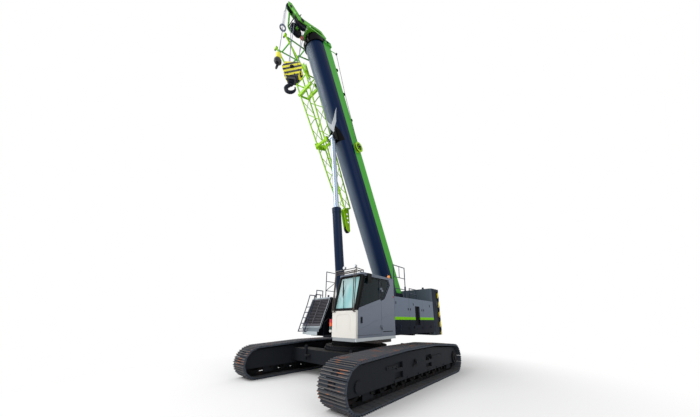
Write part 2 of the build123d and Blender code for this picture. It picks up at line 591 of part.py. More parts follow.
left_hood += box(HOOD_INNER + 90, HOUSE_X - 130, HOOD_FRONT + 80, 1050, HOOD_TOP, HOOD_TOP + 160)
save("hood_left", left_hood)
right_hood = box(-HOUSE_X, -HOOD_INNER, HOOD_FRONT, HOOD_REAR, DECK_Z + DECK_PLATE, HOOD_TOP)
save("hood_right", right_hood)

grille_slope = (GRILLE_TOP_Y - GRILLE_LOW_Y) / (GRILLE_TOP_Z - GRILLE_LOW_Z)
cooler = side_plate([
    (HOOD_FRONT - 5, DECK_Z + DECK_PLATE), (HOOD_FRONT - 5, GRILLE_TOP_Z), (GRILLE_TOP_Y, GRILLE_TOP_Z),
    (GRILLE_LOW_Y, GRILLE_LOW_Z), (GRILLE_LOW_Y, DECK_Z + DECK_PLATE)], -HOUSE_X, -BOX_INNER)
STEP_X = -HOUSE_X + 450.0
cooler += box(-HOUSE_X, -BOX_INNER, GRILLE_TOP_Y - 50, GRILLE_TOP_Y + 60, GRILLE_TOP_Z, GRILLE_TOP_Z + 25)
cooler += box(-HOUSE_X, -BOX_INNER, GRILLE_LOW_Y - 45, GRILLE_LOW_Y, GRILLE_LOW_Z - 60, GRILLE_LOW_Z - 20)
cooler += box(STEP_X, -BOX_INNER, GRILLE_LOW_Y - 160, GRILLE_LOW_Y, CAB_LOW, CAB_LOW + 110)
cooler += box(STEP_X, -BOX_INNER, GRILLE_LOW_Y - 90, GRILLE_LOW_Y, CAB_LOW + 110, GRILLE_LOW_Z - 60)
save("cooler_box", cooler)


def on_grille(u):
    """(y, z) of a point on the sloping face, u from its lower edge to its upper edge."""
    return (GRILLE_LOW_Y + (GRILLE_TOP_Y - GRILLE_LOW_Y) * u, GRILLE_LOW_Z + (GRILLE_TOP_Z - GRILLE_LOW_Z) * u)


GRILLE_THICK = 40.0
GRILLE_SLATS = 16
face = []
for u0, u1 in ((0.02, 0.08), (0.92, 0.98)):
    (y0, z0), (y1, z1) = on_grille(u0), on_grille(u1)
    face.append(side_plate([(y0, z0), (y1, z1), (y1 - GRILLE_THICK, z1 + 16), (y0 - GRILLE_THICK, z0 + 16)],
                           -HOUSE_X + 20, -BOX_INNER - 20))
(y0, z0), (y1, z1) = on_grille(0.02), on_grille(0.98)
outline = [(y0, z0), (y1, z1), (y1 - GRILLE_THICK, z1 + 16), (y0 - GRILLE_THICK, z0 + 16)]
for x in (-HOUSE_X + 20, (-HOUSE_X - BOX_INNER) / 2 - 20, -BOX_INNER - 60):
    face.append(side_plate(outline, x, x + 40))
for k in range(GRILLE_SLATS):
    u = 0.1 + 0.8 * k / (GRILLE_SLATS - 1)
    (y0, z0), (y1, z1) = on_grille(u), on_grille(u + 0.018)
    face.append(side_plate([(y0, z0), (y1, z1), (y1 - 25, z1 + 10), (y0 - 25, z0 + 10)],
                           -HOUSE_X + 40, -BOX_INNER - 40))
grille = face[0]
for piece in face[1:]:
    grille += piece
save("cooler_grille", grille)

# counterweight: two stacked slabs
def slab(z_low, z_high, front):
    """One cast slab with rounded upright edges."""
    block = box(-CW_HALF, CW_HALF, front, CW_REAR, z_low, z_high)
    block = fillet(block.edges().filter_by(Axis.Z), 110)
    mid = (front + CW_REAR) / 2
    for side in (-1, 1):      # a shallow panel cast into each end
        block -= box(side * CW_HALF, side * (CW_HALF - 25), mid - 170, mid + 210, z_low + 120, z_high - 110)
    return block


save("counterweight_lower", slab(CW_LOW, CW_SPLIT, CW_FRONT))
upper_slab = slab(CW_SPLIT, CW_TOP, CW_FRONT)
for side in (-1, 1):          # lifting eyes on top
    x, y = side * CW_HALF * 0.6, (CW_FRONT + CW_REAR) / 2
    eye = side_plate([(y - 90, CW_TOP), (y + 90, CW_TOP), (y + 60, CW_TOP + 130), (y - 60, CW_TOP + 130)],
                     x - 20, x + 20)
    upper_slab += eye - flat_x(x - 21, x + 21, y, CW_TOP + 75, 35, 12)
save("counterweight_upper", upper_slab)

# ---------------------------------------------------------------- ladder, rails, lights, winch
RAIL_R = 17.0


def rail_frame(x, y0, y1, z0, z1, mids=()):
    """A guard rail in a YZ plane: two posts, a top bar and bars between."""
    whole = bent([(x, y0, z0), (x, y0, z1), (x, y1, z1), (x, y1, z0)], RAIL_R)
    for z in mids:
        whole += flat_bar((x, y0, z), (x, y1, z), RAIL_R * 0.8, 6)
    return whole


rail_x = HOUSE_X - 40
tall = rail_frame(rail_x, 340, 1090, HOOD_TOP, 3690, (2860, 3270))
tall += flat_bar((rail_x, 715, 3270), (rail_x, 715, 3690), RAIL_R * 0.8, 6)
for y in (340, 1090):
    tall += box(rail_x - 22, rail_x + 22, y - 24, y + 24, HOOD_TOP, HOOD_TOP + 420)
save("handrail_left", tall, rail_frame(rail_x, 1390, 1910, HOOD_TOP, 2940, (2750,)))
brace = rail_frame(-rail_x, -270, 240, GRILLE_TOP_Z, 3740, (2950, 3340))
brace += flat_bar((-rail_x, -270, 2950), (-rail_x, 240, 3340), RAIL_R * 0.8, 6)
save("handrail_right", brace,
     rail_frame(-rail_x, -740, -430, GRILLE_TOP_Z, 2920, (2750,)),
     rail_frame(-rail_x, HOOD_FRONT + 90, 1500, HOOD_TOP, 3300, (2900,)),
     flat_bar((-rail_x, -120, GRILLE_TOP_Z), (-rail_x, -120, GRILLE_TOP_Z + 220), 38, 12))

# bent-tube ladder in front of the cooler, from its foot to its top ledge
LADDER_OUT, LADDER_R, RUNG_COUNT = 215.0, 17.0, 5
LADDER_X = (-HOUSE_X + 30, -HOUSE_X + 400)
foot_z, head_z = CAB_LOW + 104, GRILLE_TOP_Z - 200
foot_y, head_y = GRILLE_LOW_Y - LADDER_OUT, GRILLE_TOP_Y - LADDER_OUT - 100
ledge = GRILLE_TOP_Z + 25
ladder = fuse([bent([(x, GRILLE_LOW_Y, foot_z), (x, foot_y, foot_z), (x, head_y, head_z),
                     (x, head_y + 90, ledge + 120), (x, GRILLE_TOP_Y, ledge + 120), (x, GRILLE_TOP_Y, ledge)],
                    LADDER_R) for x in LADDER_X])
for k in range(RUNG_COUNT):
    t = (k + 0.4) / RUNG_COUNT
    ladder += flat_x(*LADDER_X, foot_y + (head_y - foot_y) * t, foot_z + (head_z - foot_z) * t, 14, 8)
save("ladder", ladder)

# three-colour load light on a post beside the cab's front
LIGHT_X, LIGHT_Y, LIGHT_R = 470.0, -1640.0, 45.0
light_post = box(LIGHT_X - 20, CAB_X0, LIGHT_Y + 20, LIGHT_Y + 60, 1440, 1480)
light_post += flat_bar((LIGHT_X, LIGHT_Y, 1430), (LIGHT_X, LIGHT_Y, 1500), LIGHT_R, 12)
lamps = [light_post]
for k in range(3):
    lamps.append(flat_bar((LIGHT_X, LIGHT_Y, 1500 + 100 * k), (LIGHT_X, LIGHT_Y, 1600 + 100 * k), LIGHT_R, 12))
save("load_light", *lamps)

# hoist winch behind the boom foot
WINCH_Y, WINCH_Z = 2950.0, 1900.0
DRUM_HALF, FLANGE_R, FLANGE = 300.0, 320.0, 30.0
winch = flat_x(-DRUM_HALF, DRUM_HALF, WINCH_Y, WINCH_Z, 210, 24)
for side in (-1, 1):
    winch += flat_x(side * DRUM_HALF, side * (DRUM_HALF + FLANGE), WINCH_Y, WINCH_Z, FLANGE_R, 24)
winch += flat_x(-CHEEK_INNER, CHEEK_INNER, WINCH_Y, WINCH_Z, 90)
save("winch", winch)

# ---------------------------------------------------------------- boom
def section_face(k, inset=0.0):
    """Cross-section of boom section k in the lying frame: flat roof, rounded underside."""
    shrink = k * (SECTION_WALL + SECTION_PLAY) + inset
    half = SECTION_WIDTH / 2 - shrink
    roof = SECTION_ROOF - shrink
    low = -(SECTION_DROP - shrink)
    spring = low + half
    corner = 40.0
    edge = [
        Line((-half, spring), (-half, roof - corner)),
        ThreePointArc((-half, roof - corner), (-half + corner * 0.293, roof - corner * 0.293),
                      (-half + corner, roof)),
        Line((-half + corner, roof), (half - corner, roof)),
        ThreePointArc((half - corner, roof), (half - corner * 0.293, roof - corner * 0.293),
                      (half, roof - corner)),
        Line((half, roof - corner), (half, spring)),
        ThreePointArc((half, spring), (0, low), (-half, spring)),
    ]
    return make_face(Wire(Curve() + edge))


def along_boom(face, start, end):
    """Stretch a cross-section from one station to another, lying along -Y."""
    plane = Plane(origin=(0, -start, 0), x_dir=(1, 0, 0), z_dir=(0, -1, 0))
    return extrude(plane * face, amount=end - start)


def slide_pads(k, front):
    """Pads inside the front end of section k, on which the next section slides."""
    shrink = k * (SECTION_WALL + SECTION_PLAY) + SECTION_WALL
    half, roof = SECTION_WIDTH / 2 - shrink, SECTION_ROOF - shrink
    thick = SECTION_PLAY - PAD_GAP
    pads = box(-half + 80, half - 80, -front, -front + PAD_LENGTH, roof - thick, roof)
    for side in (-1, 1):
        pads += box(side * (half - thick), side * half, -front, -front + PAD_LENGTH, -PAD_HEIGHT / 2 + 100,
                    PAD_HEIGHT / 2 + 100)
    return pads


def section_tube(k):
    """Hollow boom section k, with the collar at its front end."""
    rear = TUBE_REAR if k == 0 else INNER_REAR + 40 * k
    front = TUBE_FRONT + COLLAR_STEP * k
    tube = along_boom(section_face(k), rear, front)
    tube += along_boom(section_face(k, -COLLAR_RIM), front - (COLLAR_THIN if k else COLLAR_LENGTH), front)
    tube -= along_boom(section_face(k, SECTION_WALL), rear - 1, front + 1)
    if k < SECTION_COUNT - 1:
        tube += slide_pads(k, front)
    return tube


base = section_tube(0)
foot = [(-(TUBE_REAR + 300), 440), (-(TUBE_REAR + 300), -420), (-TUBE_REAR, -420), (0, -190), (160, -120),
        (190, 0), (160, 120), (0, 190), (-TUBE_REAR, 440)]
for side in (-1, 1):
    outer = side * (CHEEK_INNER - 5)
    base += side_plate(foot, outer, side * (SECTION_WIDTH / 2 - 1))
base += bar_x(-CHEEK_INNER + 5, CHEEK_INNER - 5, 0, 0, 190)
base += bar_x(-CHEEK_INNER - CHEEK_PLATE - 30, CHEEK_INNER + CHEEK_PLATE + 30, 0, 0, PIVOT_R)
# lug plates for the lift cylinder, under the boom
lug_plate = [(-(LUG_STATION - LUG_BACK), -(SECTION_DROP - 60)), (-(LUG_STATION - LUG_BACK), -(LUG_DROP + 70)),
             (-(LUG_STATION - 60), -(LUG_DROP + 110)), (-(LUG_STATION + 80), -(LUG_DROP + 110)),
             (-(LUG_STATION + 420), -(SECTION_DROP - 60))]
for side in (-1, 1):
    x = side * (EYE_HALF + 6)
    base += side_plate(lug_plate, x, x + side * 35)
base += bar_x(-EYE_HALF - 60, EYE_HALF + 60, -LUG_STATION, -LUG_DROP, EYE_PIN_R)
# a saddle plate round the belly above the lug, drawn out to a horn towards the head
SADDLE, SADDLE_START, SADDLE_END, SADDLE_HALF = 10.0, LUG_STATION - 160.0, LUG_STATION + 1450.0, 330.0
saddle = along_boom(section_face(0, -SADDLE), SADDLE_START, SADDLE_END)
horn = extrude(make_face(Polyline(
    (-SADDLE_HALF, -SADDLE_START, 0), (SADDLE_HALF, -SADDLE_START, 0), (SADDLE_HALF * 0.8, -LUG_STATION - 260, 0),
    (SADDLE_HALF * 0.3, -LUG_STATION - 600, 0), (0, -SADDLE_END, 0), (-SADDLE_HALF * 0.3, -LUG_STATION - 600, 0),
    (-SADDLE_HALF * 0.8, -LUG_STATION - 260, 0), close=True)), amount=SECTION_DROP + 100, dir=(0, 0, -1))
base += saddle & horn
base -= along_boom(section_face(0, SECTION_WALL), TUBE_REAR, TUBE_FRONT + 1)
base += slide_pads(0, TUBE_FRONT)
save("boom_base", raise_boom(base))
for k in range(1, SECTION_COUNT):
    save(f"boom_section_{k + 1}", raise_boom(section_tube(k)))

# cable reel on the roof
reel_station, reel_r = 7250.0, 210.0
reel_z = SECTION_ROOF + reel_r + 12
reel = flat_x(-45, 45, -reel_station, reel_z, reel_r, 24) - flat_x(-25, 60, -reel_station, reel_z, reel_r - 60, 24)
reel += box(-70, 70, -reel_station - 40, -reel_station + 40, SECTION_ROOF, reel_z - 60)
save("cable_reel", raise_boom(reel))

# ---------------------------------------------------------------- boom head and nose
def head_side(points):
    """An outline of (distance out from the head's foot, drop) as (y, z) points."""
    return [(-(INNER_FRONT + out), -drop) for out, drop in points]


HEAD_OPENING = [(90, -330), (150, -180), (130, 330), (60, 420), (50, -280)]
NOSE_ARM = [(170, 120), (270, 0), (600, 540), (900, 800), (890, 960), (720, 1030), (560, 900), (250, 600)]
cheek = [(0, -500), (60, -540), (240, -300), (200, 450), (190, 1000), (150, 1010), (10, 940), (20, 560), (0, 430)]
head_pieces = []
for side in (-1, 1):
    x = side * HEAD_HALF
    plate = side_plate(head_side(cheek), x, x - side * HEAD_PLATE)
    head_pieces.append(plate - side_plate(head_side(HEAD_OPENING), x + side, x - side * (HEAD_PLATE + 1)))
    x = side * NOSE_HALF
    head_pieces.append(side_plate(head_side(NOSE_ARM), x, x + side * NOSE_PLATE))
    # arm from each cheek's front edge to the nose
    start, end = head_side([(195, 985), (640, 900)])
    head_pieces.append(flat_bar((side * (HEAD_HALF - HEAD_PLATE / 2), *start),
                                (side * (NOSE_HALF + NOSE_PLATE), *end), 34, 6))
head_pieces += [
    side_plate(head_side([(0, -500), (60, -540), (240, -300), (220, -270), (60, -505), (0, -465)]),
               -HEAD_HALF, HEAD_HALF),
    side_plate(head_side([(0, -500), (0, 430), (30, 430), (30, -500)]), -HEAD_HALF, HEAD_HALF),
    side_plate(head_side([(175, 60), (215, 60), (215, 200), (175, 200)]), -HEAD_HALF, HEAD_HALF),
    side_plate(head_side([(200, -300), (240, -300), (235, 20), (200, 20)]), -HEAD_HALF, HEAD_HALF),
    flat_x(-HEAD_HALF, HEAD_HALF, -SHEAVE_STATION, -SHEAVE_DROP, SHEAVE_PIN_R),
    flat_x(-NOSE_HALF - 28, NOSE_HALF + 28, -NOSE_STATION, -NOSE_DROP, SHEAVE_PIN_R),
]
save("boom_head", raise_boom(fuse(head_pieces)))


def sheave(x, station, drop, radius, width):
    """A grooved rope wheel running on its pin: two rims beside a groove as deep as the rope needs."""
    groove = radius + GROOVE_RISE - GROOVE_R
    wheel = bar_x(x - width / 2, x + width / 2, -station, -drop, groove)
    for side in (-1, 1):
        wheel += flat_x(x + side * (ROPE_R + GROOVE_SIDE), x + side * width / 2, -station, -drop, radius, SHEAVE_SIDES)
    return wheel - flat_x(x - width, x + width, -station, -drop, SHEAVE_PIN_R + SEAT_GAP)


main_sheaves = [sheave(x, SHEAVE_STATION, SHEAVE_DROP, SHEAVE_R, 56) for x in SHEAVE_XS]
nose_sheave = sheave(0, NOSE_STATION, NOSE_DROP, NOSE_R, 60)
save("head_sheaves", *[raise_boom(w) for w in [*main_sheaves, nose_sheave]])

# ---------------------------------------------------------------- lift cylinder
lug = boom_point(0, LUG_STATION, LUG_DROP)
foot_pin = (0.0, FOOT_Y, FOOT_Z)
reach = Vector(*lug) - Vector(*foot_pin)
up = reach.normalized()


def on_ram(distance):
    """A point on the cylinder's line, from the foot pin towards the boom."""
    return tuple(Vector(*foot_pin) + up * distance)


barrel = rod(on_ram(160), on_ram(BARREL_LENGTH), BARREL_R)
barrel += rod(on_ram(BARREL_LENGTH - 180), on_ram(BARREL_LENGTH), BARREL_R + BARREL_COLLAR)
barrel += bar_x(-EYE_HALF - 50, EYE_HALF + 50, FOOT_Y, FOOT_Z, EYE_R + 20)
barrel += rod(on_ram(60), on_ram(200), BARREL_R - 20)
barrel -= rod(on_ram(230), on_ram(BARREL_LENGTH - 120), BARREL_BORE)
barrel -= rod(on_ram(220), on_ram(BARREL_LENGTH + 1), ROD_R + PIN_GAP)
save("lift_barrel", barrel)
ram = rod(on_ram(reach.length - ROD_LENGTH), on_ram(reach.length - 60), ROD_R)
ram += bar_x(-EYE_HALF, EYE_HALF, lug[1], lug[2], EYE_R)
ram -= bar_x(-EYE_HALF - 1, EYE_HALF + 1, lug[1], lug[2], EYE_PIN_R + PIN_GAP)
save("lift_rod", ram)

# ---------------------------------------------------------------- stowed jib
def jib_chord_point(x_side, drop_side, t):
    """A chord's place at t from the root (0) to the tip (1), in the lying frame."""
    x_root, x_tip = ((JIB_X0, JIB_TIP_X0), (JIB_X1, JIB_TIP_X1))[x_side]
    mid = (JIB_DROP0 + JIB_DROP1) / 2
    half = (JIB_DROP1 - JIB_DROP0) / 2 * (1 - 0.25 * t)
    drop = mid + (half if drop_side else -half)
    station = JIB_ROOT + (JIB_TIP - JIB_ROOT) * t
    return (x_root + (x_tip - x_root) * t, -station, -drop)


corners = ((0, 0), (0, 1), (1, 1), (1, 0))
jib = None


def weld(piece):
    """Join a piece to the jib."""
    global jib
    jib = piece if jib is None else jib + piece


for xs, ds in corners:
    weld(flat_bar(jib_chord_point(xs, ds, 0), jib_chord_point(xs, ds, 1), CHORD_R, 8))
for t in (0, 1):
    for a, b in zip(corners, corners[1:] + corners[:1]):
        weld(flat_bar(jib_chord_point(*a, t), jib_chord_point(*b, t), CHORD_R * 0.8, 8))
for k in range(JIB_BAYS):
    for face, (a, b) in enumerate(zip(corners, corners[1:] + corners[:1])):
        # bars on neighbouring faces stop short of the joint by different lengths, so none touch
        short = (LACING_SHORT if face % 2 else 2.4 * LACING_SHORT) / (JIB_ROOT - JIB_TIP)
        start, end = (a, b) if k % 2 else (b, a)
        weld(flat_bar(jib_chord_point(*start, k / JIB_BAYS + short),
                      jib_chord_point(*end, (k + 1) / JIB_BAYS - short), LACING_R, 4))
# root fork with its pins
for xs in (0, 1):
    for ds, lug_drop in zip((0, 1), JIB_LUG_DROPS):
        x, y, z = jib_chord_point(xs, ds, 0)
        tip = (JIB_X1 - 10 if xs else JIB_X0, -JIB_LUG_STATION, -lug_drop)
        weld(flat_bar((x, y, z), tip, CHORD_R, 8))
        weld(flat_x(tip[0] - 55, tip[0] + 55, tip[1], tip[2], 50, 12))
# tip plates and sheave
tip_x = (JIB_TIP_X0 + JIB_TIP_X1) / 2
tip_mid = (JIB_DROP0 + JIB_DROP1) / 2
pin_y, pin_z, TIP_PIN_R = -(JIB_TIP - JIB_NOSE_OUT), -JIB_NOSE_DROP, 30.0
for side in (-1, 1):
    x = tip_x + side * 70
    plate = side_plate([(-JIB_TIP - 60, -60), (-JIB_TIP - 60, -440), (pin_y - 40, pin_z - 100),
                        (pin_y + 100, pin_z - 40), (pin_y + 100, pin_z + 90)], x, x + side * 16)
    for t in (0.25, 0.45, 0.65):     # holes down the plate
        plate -= flat_x(x - 1, x + side * 17, -JIB_TIP + JIB_NOSE_OUT * t, -tip_mid - 190 * t, 45, 8)
    weld(plate)
weld(flat_x(tip_x - 86, tip_x + 86, pin_y, pin_z, TIP_PIN_R))
jib_sheave = (flat_x(tip_x - 30, tip_x + 30, pin_y, pin_z, 150, SHEAVE_SIDES)
              - flat_x(tip_x - 40, tip_x + 40, pin_y, pin_z, TIP_PIN_R + SEAT_GAP))
save("jib", raise_boom(jib))
save("jib_sheave", raise_boom(jib_sheave))
# brackets that hold the jib on the boom's side: beams around its chords, cut to fit them
brackets = []
for out, half, web in BRACKETS:
    station = JIB_TIP + out
    t = (JIB_ROOT - station) / JIB_LENGTH
    near = jib_chord_point(0, 0, t)[0] + CHORD_R
    far = jib_chord_point(1, 0, t)[0] - CHORD_R - 25
    y0, y1 = -station - 45, -station + 45
    levels = [jib_chord_point(0, ds, t)[2] for ds in (1, 0)]
    pieces = [box(-SECTION_WIDTH / 2, far, y0, y1, z - 50, z + 50) for z in levels]
    pieces.append(box(far, far - 25, -station - half, -station + half, levels[0] - 60, levels[1] + 60))
    pieces.append(box(-SECTION_WIDTH / 2 - 25, -SECTION_WIDTH / 2, y0 - 40, y1 + 40, levels[0] + 220, levels[1] + 100))
    if web:
        pieces.append(box(-SECTION_WIDTH / 2, near + 20, -station - web, -station + web, levels[0] - 70,
                          levels[1] + 90))
    brackets += [raise_boom(piece) for piece in (fuse(pieces) - jib).solids()]
save("jib_brackets", *brackets)

# ---------------------------------------------------------------- main hook block, hanging plumb
main_axis = boom_point(0, SHEAVE_STATION, SHEAVE_DROP)
block_y = main_axis[1]
falls = []
turn = radians(BLOCK_TURN)
for x in FALL_XS:
    for side in (-1, 1):
        across, along = x * 0.6, side * FALL_SPREAD
        low_y = across * sin(turn) + along * cos(turn)
        low = (across * cos(turn) - along * sin(turn), block_y + low_y, BLOCK_TOP_Z + 4 * SEAT_GAP)
        # the fall leans in towards the block, and leaves its groove along a tangent
        lean = (SHEAVE_R + ROPE_OUT - side * low_y) / (main_axis[2] - low[2])
        falls.append(rod((x, block_y + side * (SHEAVE_R + ROPE_OUT) * hypot(1, lean), main_axis[2]), low, ROPE_R))
save("main_falls", *falls)


def block_side(wide, top, shoulder, low, foot):
    """Six-sided outline of the block, narrowing to its foot."""
    half = [(wide * 0.74, top), (wide, top - shoulder), (wide * 0.8, low + 200), (foot, low)]
    return half + [(-y, z) for y, z in reversed(half)]


def turned(shape):
    """Turn a piece drawn at the slewing axis about the block's own line."""
    return Pos(0, block_y, 0) * Rot(0, 0, BLOCK_TURN) * shape


cheek_low = BLOCK_LOW_Z + 130
block = side_plate(block_side(BLOCK_HALF * 0.9, BLOCK_TOP_Z, 260, cheek_low, 170), -BLOCK_CORE, BLOCK_CORE)
for side in (-1, 1):
    block += side_plate(block_side(BLOCK_HALF, BLOCK_TOP_Z - 30, 260, cheek_low, 190), side * BLOCK_CORE,
                        side * (BLOCK_CORE + BLOCK_CHEEK))
block += box(-BLOCK_CORE - 20, BLOCK_CORE + 20, -150, 150, BLOCK_LOW_Z, cheek_low + 40)
save("hook_block", turned(block))


def hook(y, z_top, ring_r, thick, turn_z):
    """A forged crane hook on its shank: a ring with an open quarter, thickest at the bottom."""
    centre_z = z_top - thick * 2 - ring_r * 1.25
    inner, outer = [], []
    for k in range(15):
        t = k / 14
        angle = radians(100 + 285 * t)
        half = thick * (0.8 + 0.45 * sin(pi * min(1.0, t * 1.25)) - 0.45 * t)
        inner.append((cos(angle) * (ring_r - half), centre_z + sin(angle) * (ring_r - half)))
        outer.append((cos(angle) * (ring_r + half), centre_z + sin(angle) * (ring_r + half)))
    ring = extrude(make_face(Polyline(*[(x, -thick * 0.8, z) for x, z in inner + outer[::-1]], close=True)),
                   amount=thick * 1.6, dir=(0, 1, 0))
    ring = chamfer(ring.edges().filter_by(lambda edge: abs((edge @ 0).Y - (edge @ 1).Y) < 0.1), thick * 0.35)
    ring += rod((0, 0, centre_z + ring_r * 0.95), (0, 0, z_top), thick * 0.8)
    ring += flat_bar((0, 0, z_top - thick * 1.4), (0, 0, z_top), thick * 1.5, 6)
    return Pos(0, y, 0) * Rot(0, 0, turn_z) * ring


save("main_hook", hook(block_y, BLOCK_LOW_Z - SEAT_GAP, 165, 62, BLOCK_TURN + 90))

# ---------------------------------------------------------------- auxiliary line, hanging plumb
nose_axis = boom_point(0, NOSE_STATION, NOSE_DROP)
line_y = nose_axis[1] - NOSE_R - ROPE_OUT
WEIGHT_R, WEIGHT_BAR = 95.0, 22.0
YOKE_DROP, YOKE_R = 300.0, 6.0        # bar that carries the ring weight, below the nose sheave's axis
AUX_R, BALL_CUT = 92.0, 95.0
aux_line = [rod((0, line_y, nose_axis[2]), (0, line_y, BALL_TOP_Z + SEAT_GAP), ROPE_R)]
yoke_z = nose_axis[2] - YOKE_DROP
ring_low = (0, line_y, RING_WEIGHT_Z - WEIGHT_BAR)
ring_high = (0, line_y, RING_WEIGHT_Z + WEIGHT_BAR)
ring_weight = (flat_bar(ring_low, ring_high, WEIGHT_R + WEIGHT_BAR, 16)
               - flat_bar(ring_low, ring_high, WEIGHT_R - WEIGHT_BAR, 16))
for side in (-1, 1):
    x = side * WEIGHT_R
    ring_weight += flat_bar((x, line_y, RING_WEIGHT_Z), (x, line_y, yoke_z), YOKE_R - 1, 6)
ring_weight += flat_x(-WEIGHT_R - YOKE_R, WEIGHT_R + YOKE_R, line_y, yoke_z, YOKE_R, 6)
aux_line.append(ring_weight)
save("aux_line", *aux_line)
ball_low = BALL_Z - BALL_CUT
profile = [(0, ball_low), (75, ball_low), (BALL_R, ball_low + 65), (BALL_R, BALL_Z + 40), (AUX_R, BALL_Z + 85),
           (AUX_R, BALL_TOP_Z - 165), (58, BALL_TOP_Z - 145), (58, BALL_TOP_Z), (0, BALL_TOP_Z)]
ball = Pos(0, line_y, 0) * revolve(make_face(Polyline(*[(r, 0, z) for r, z in profile], close=True)), Axis.Z, 360)
save("aux_ball", ball)
save("aux_hook", hook(line_y, BALL_Z - BALL_CUT - SEAT_GAP, 72, 26, 0))
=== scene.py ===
"""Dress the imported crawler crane: finishes, small parts, rigging, studio and camera.

The crane stands on the ground at the origin, front -Y, cab side +X, up +Z, in metres.
Boom pieces are drawn lying along -Y with the foot pin at the origin and are then raised,
so a place on the boom is (x, -station, height): station is out along the boom.
"""
from __future__ import annotations

import json
import logging
from collections.abc import Iterable, Iterator
from contextlib import contextmanager
from dataclasses import dataclass, field
from enum import Enum
from math import atan2, cos, hypot, pi, radians, sin

import bpy
from mathutils import Matrix, Vector

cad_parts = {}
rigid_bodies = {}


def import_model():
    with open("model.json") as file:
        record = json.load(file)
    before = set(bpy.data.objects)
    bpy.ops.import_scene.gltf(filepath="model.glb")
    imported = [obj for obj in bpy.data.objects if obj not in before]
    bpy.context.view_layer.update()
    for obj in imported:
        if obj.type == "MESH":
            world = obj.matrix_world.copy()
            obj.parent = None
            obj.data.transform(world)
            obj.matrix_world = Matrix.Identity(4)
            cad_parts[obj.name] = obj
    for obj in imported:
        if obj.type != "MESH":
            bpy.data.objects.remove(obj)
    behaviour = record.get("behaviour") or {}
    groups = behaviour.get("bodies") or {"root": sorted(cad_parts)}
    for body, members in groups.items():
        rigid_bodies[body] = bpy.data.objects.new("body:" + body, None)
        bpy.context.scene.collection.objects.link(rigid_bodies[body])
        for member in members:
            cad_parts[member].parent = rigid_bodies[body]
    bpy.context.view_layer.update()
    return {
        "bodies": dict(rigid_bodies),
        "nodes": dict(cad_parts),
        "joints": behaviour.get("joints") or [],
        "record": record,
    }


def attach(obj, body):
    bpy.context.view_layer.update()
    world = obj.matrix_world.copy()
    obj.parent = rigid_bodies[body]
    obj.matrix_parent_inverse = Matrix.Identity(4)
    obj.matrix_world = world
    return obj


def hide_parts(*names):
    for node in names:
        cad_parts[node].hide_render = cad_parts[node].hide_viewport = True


LOG = logging.getLogger("crawler_crane")
Socket = bpy.types.NodeSocket
Piece = bpy.types.Object
Material = bpy.types.Material
Point = tuple[float, float, float]
Colour = tuple[float, float, float]
Spot = tuple[float, float]
Span = tuple[float, float]
Outline = tuple[Spot, ...]
Parts = Iterator[Piece]
MADE: dict[str, Material] = {}


def shade(red: int, green: int, blue: int) -> Colour:
    """Turn a colour written in 0-255 display steps into the linear colour that shaders take.

    Args:
        red: red step.
        green: green step.
        blue: blue step.

    Returns:
        The linear colour.
    """
    def linear(step: int) -> float:
        value = step / 255.0
        return value / 12.92 if value <= 0.04045 else ((value + 0.055) / 1.055) ** 2.4

    return linear(red), linear(green), linear(blue)


class Axis(Enum):
    """The axis a pattern or a part follows."""

    X = 0
    Y = 1
    Z = 2


# ------------------------------------------------------------------ shader sketching
def lay(tree: bpy.types.NodeTree, kind: str, **settings: object) -> bpy.types.Node:
    """Lay one node in a tree and set its plain properties."""
    node = tree.nodes.new(kind)
    for key, value in settings.items():
        setattr(node, key, value)
    return node


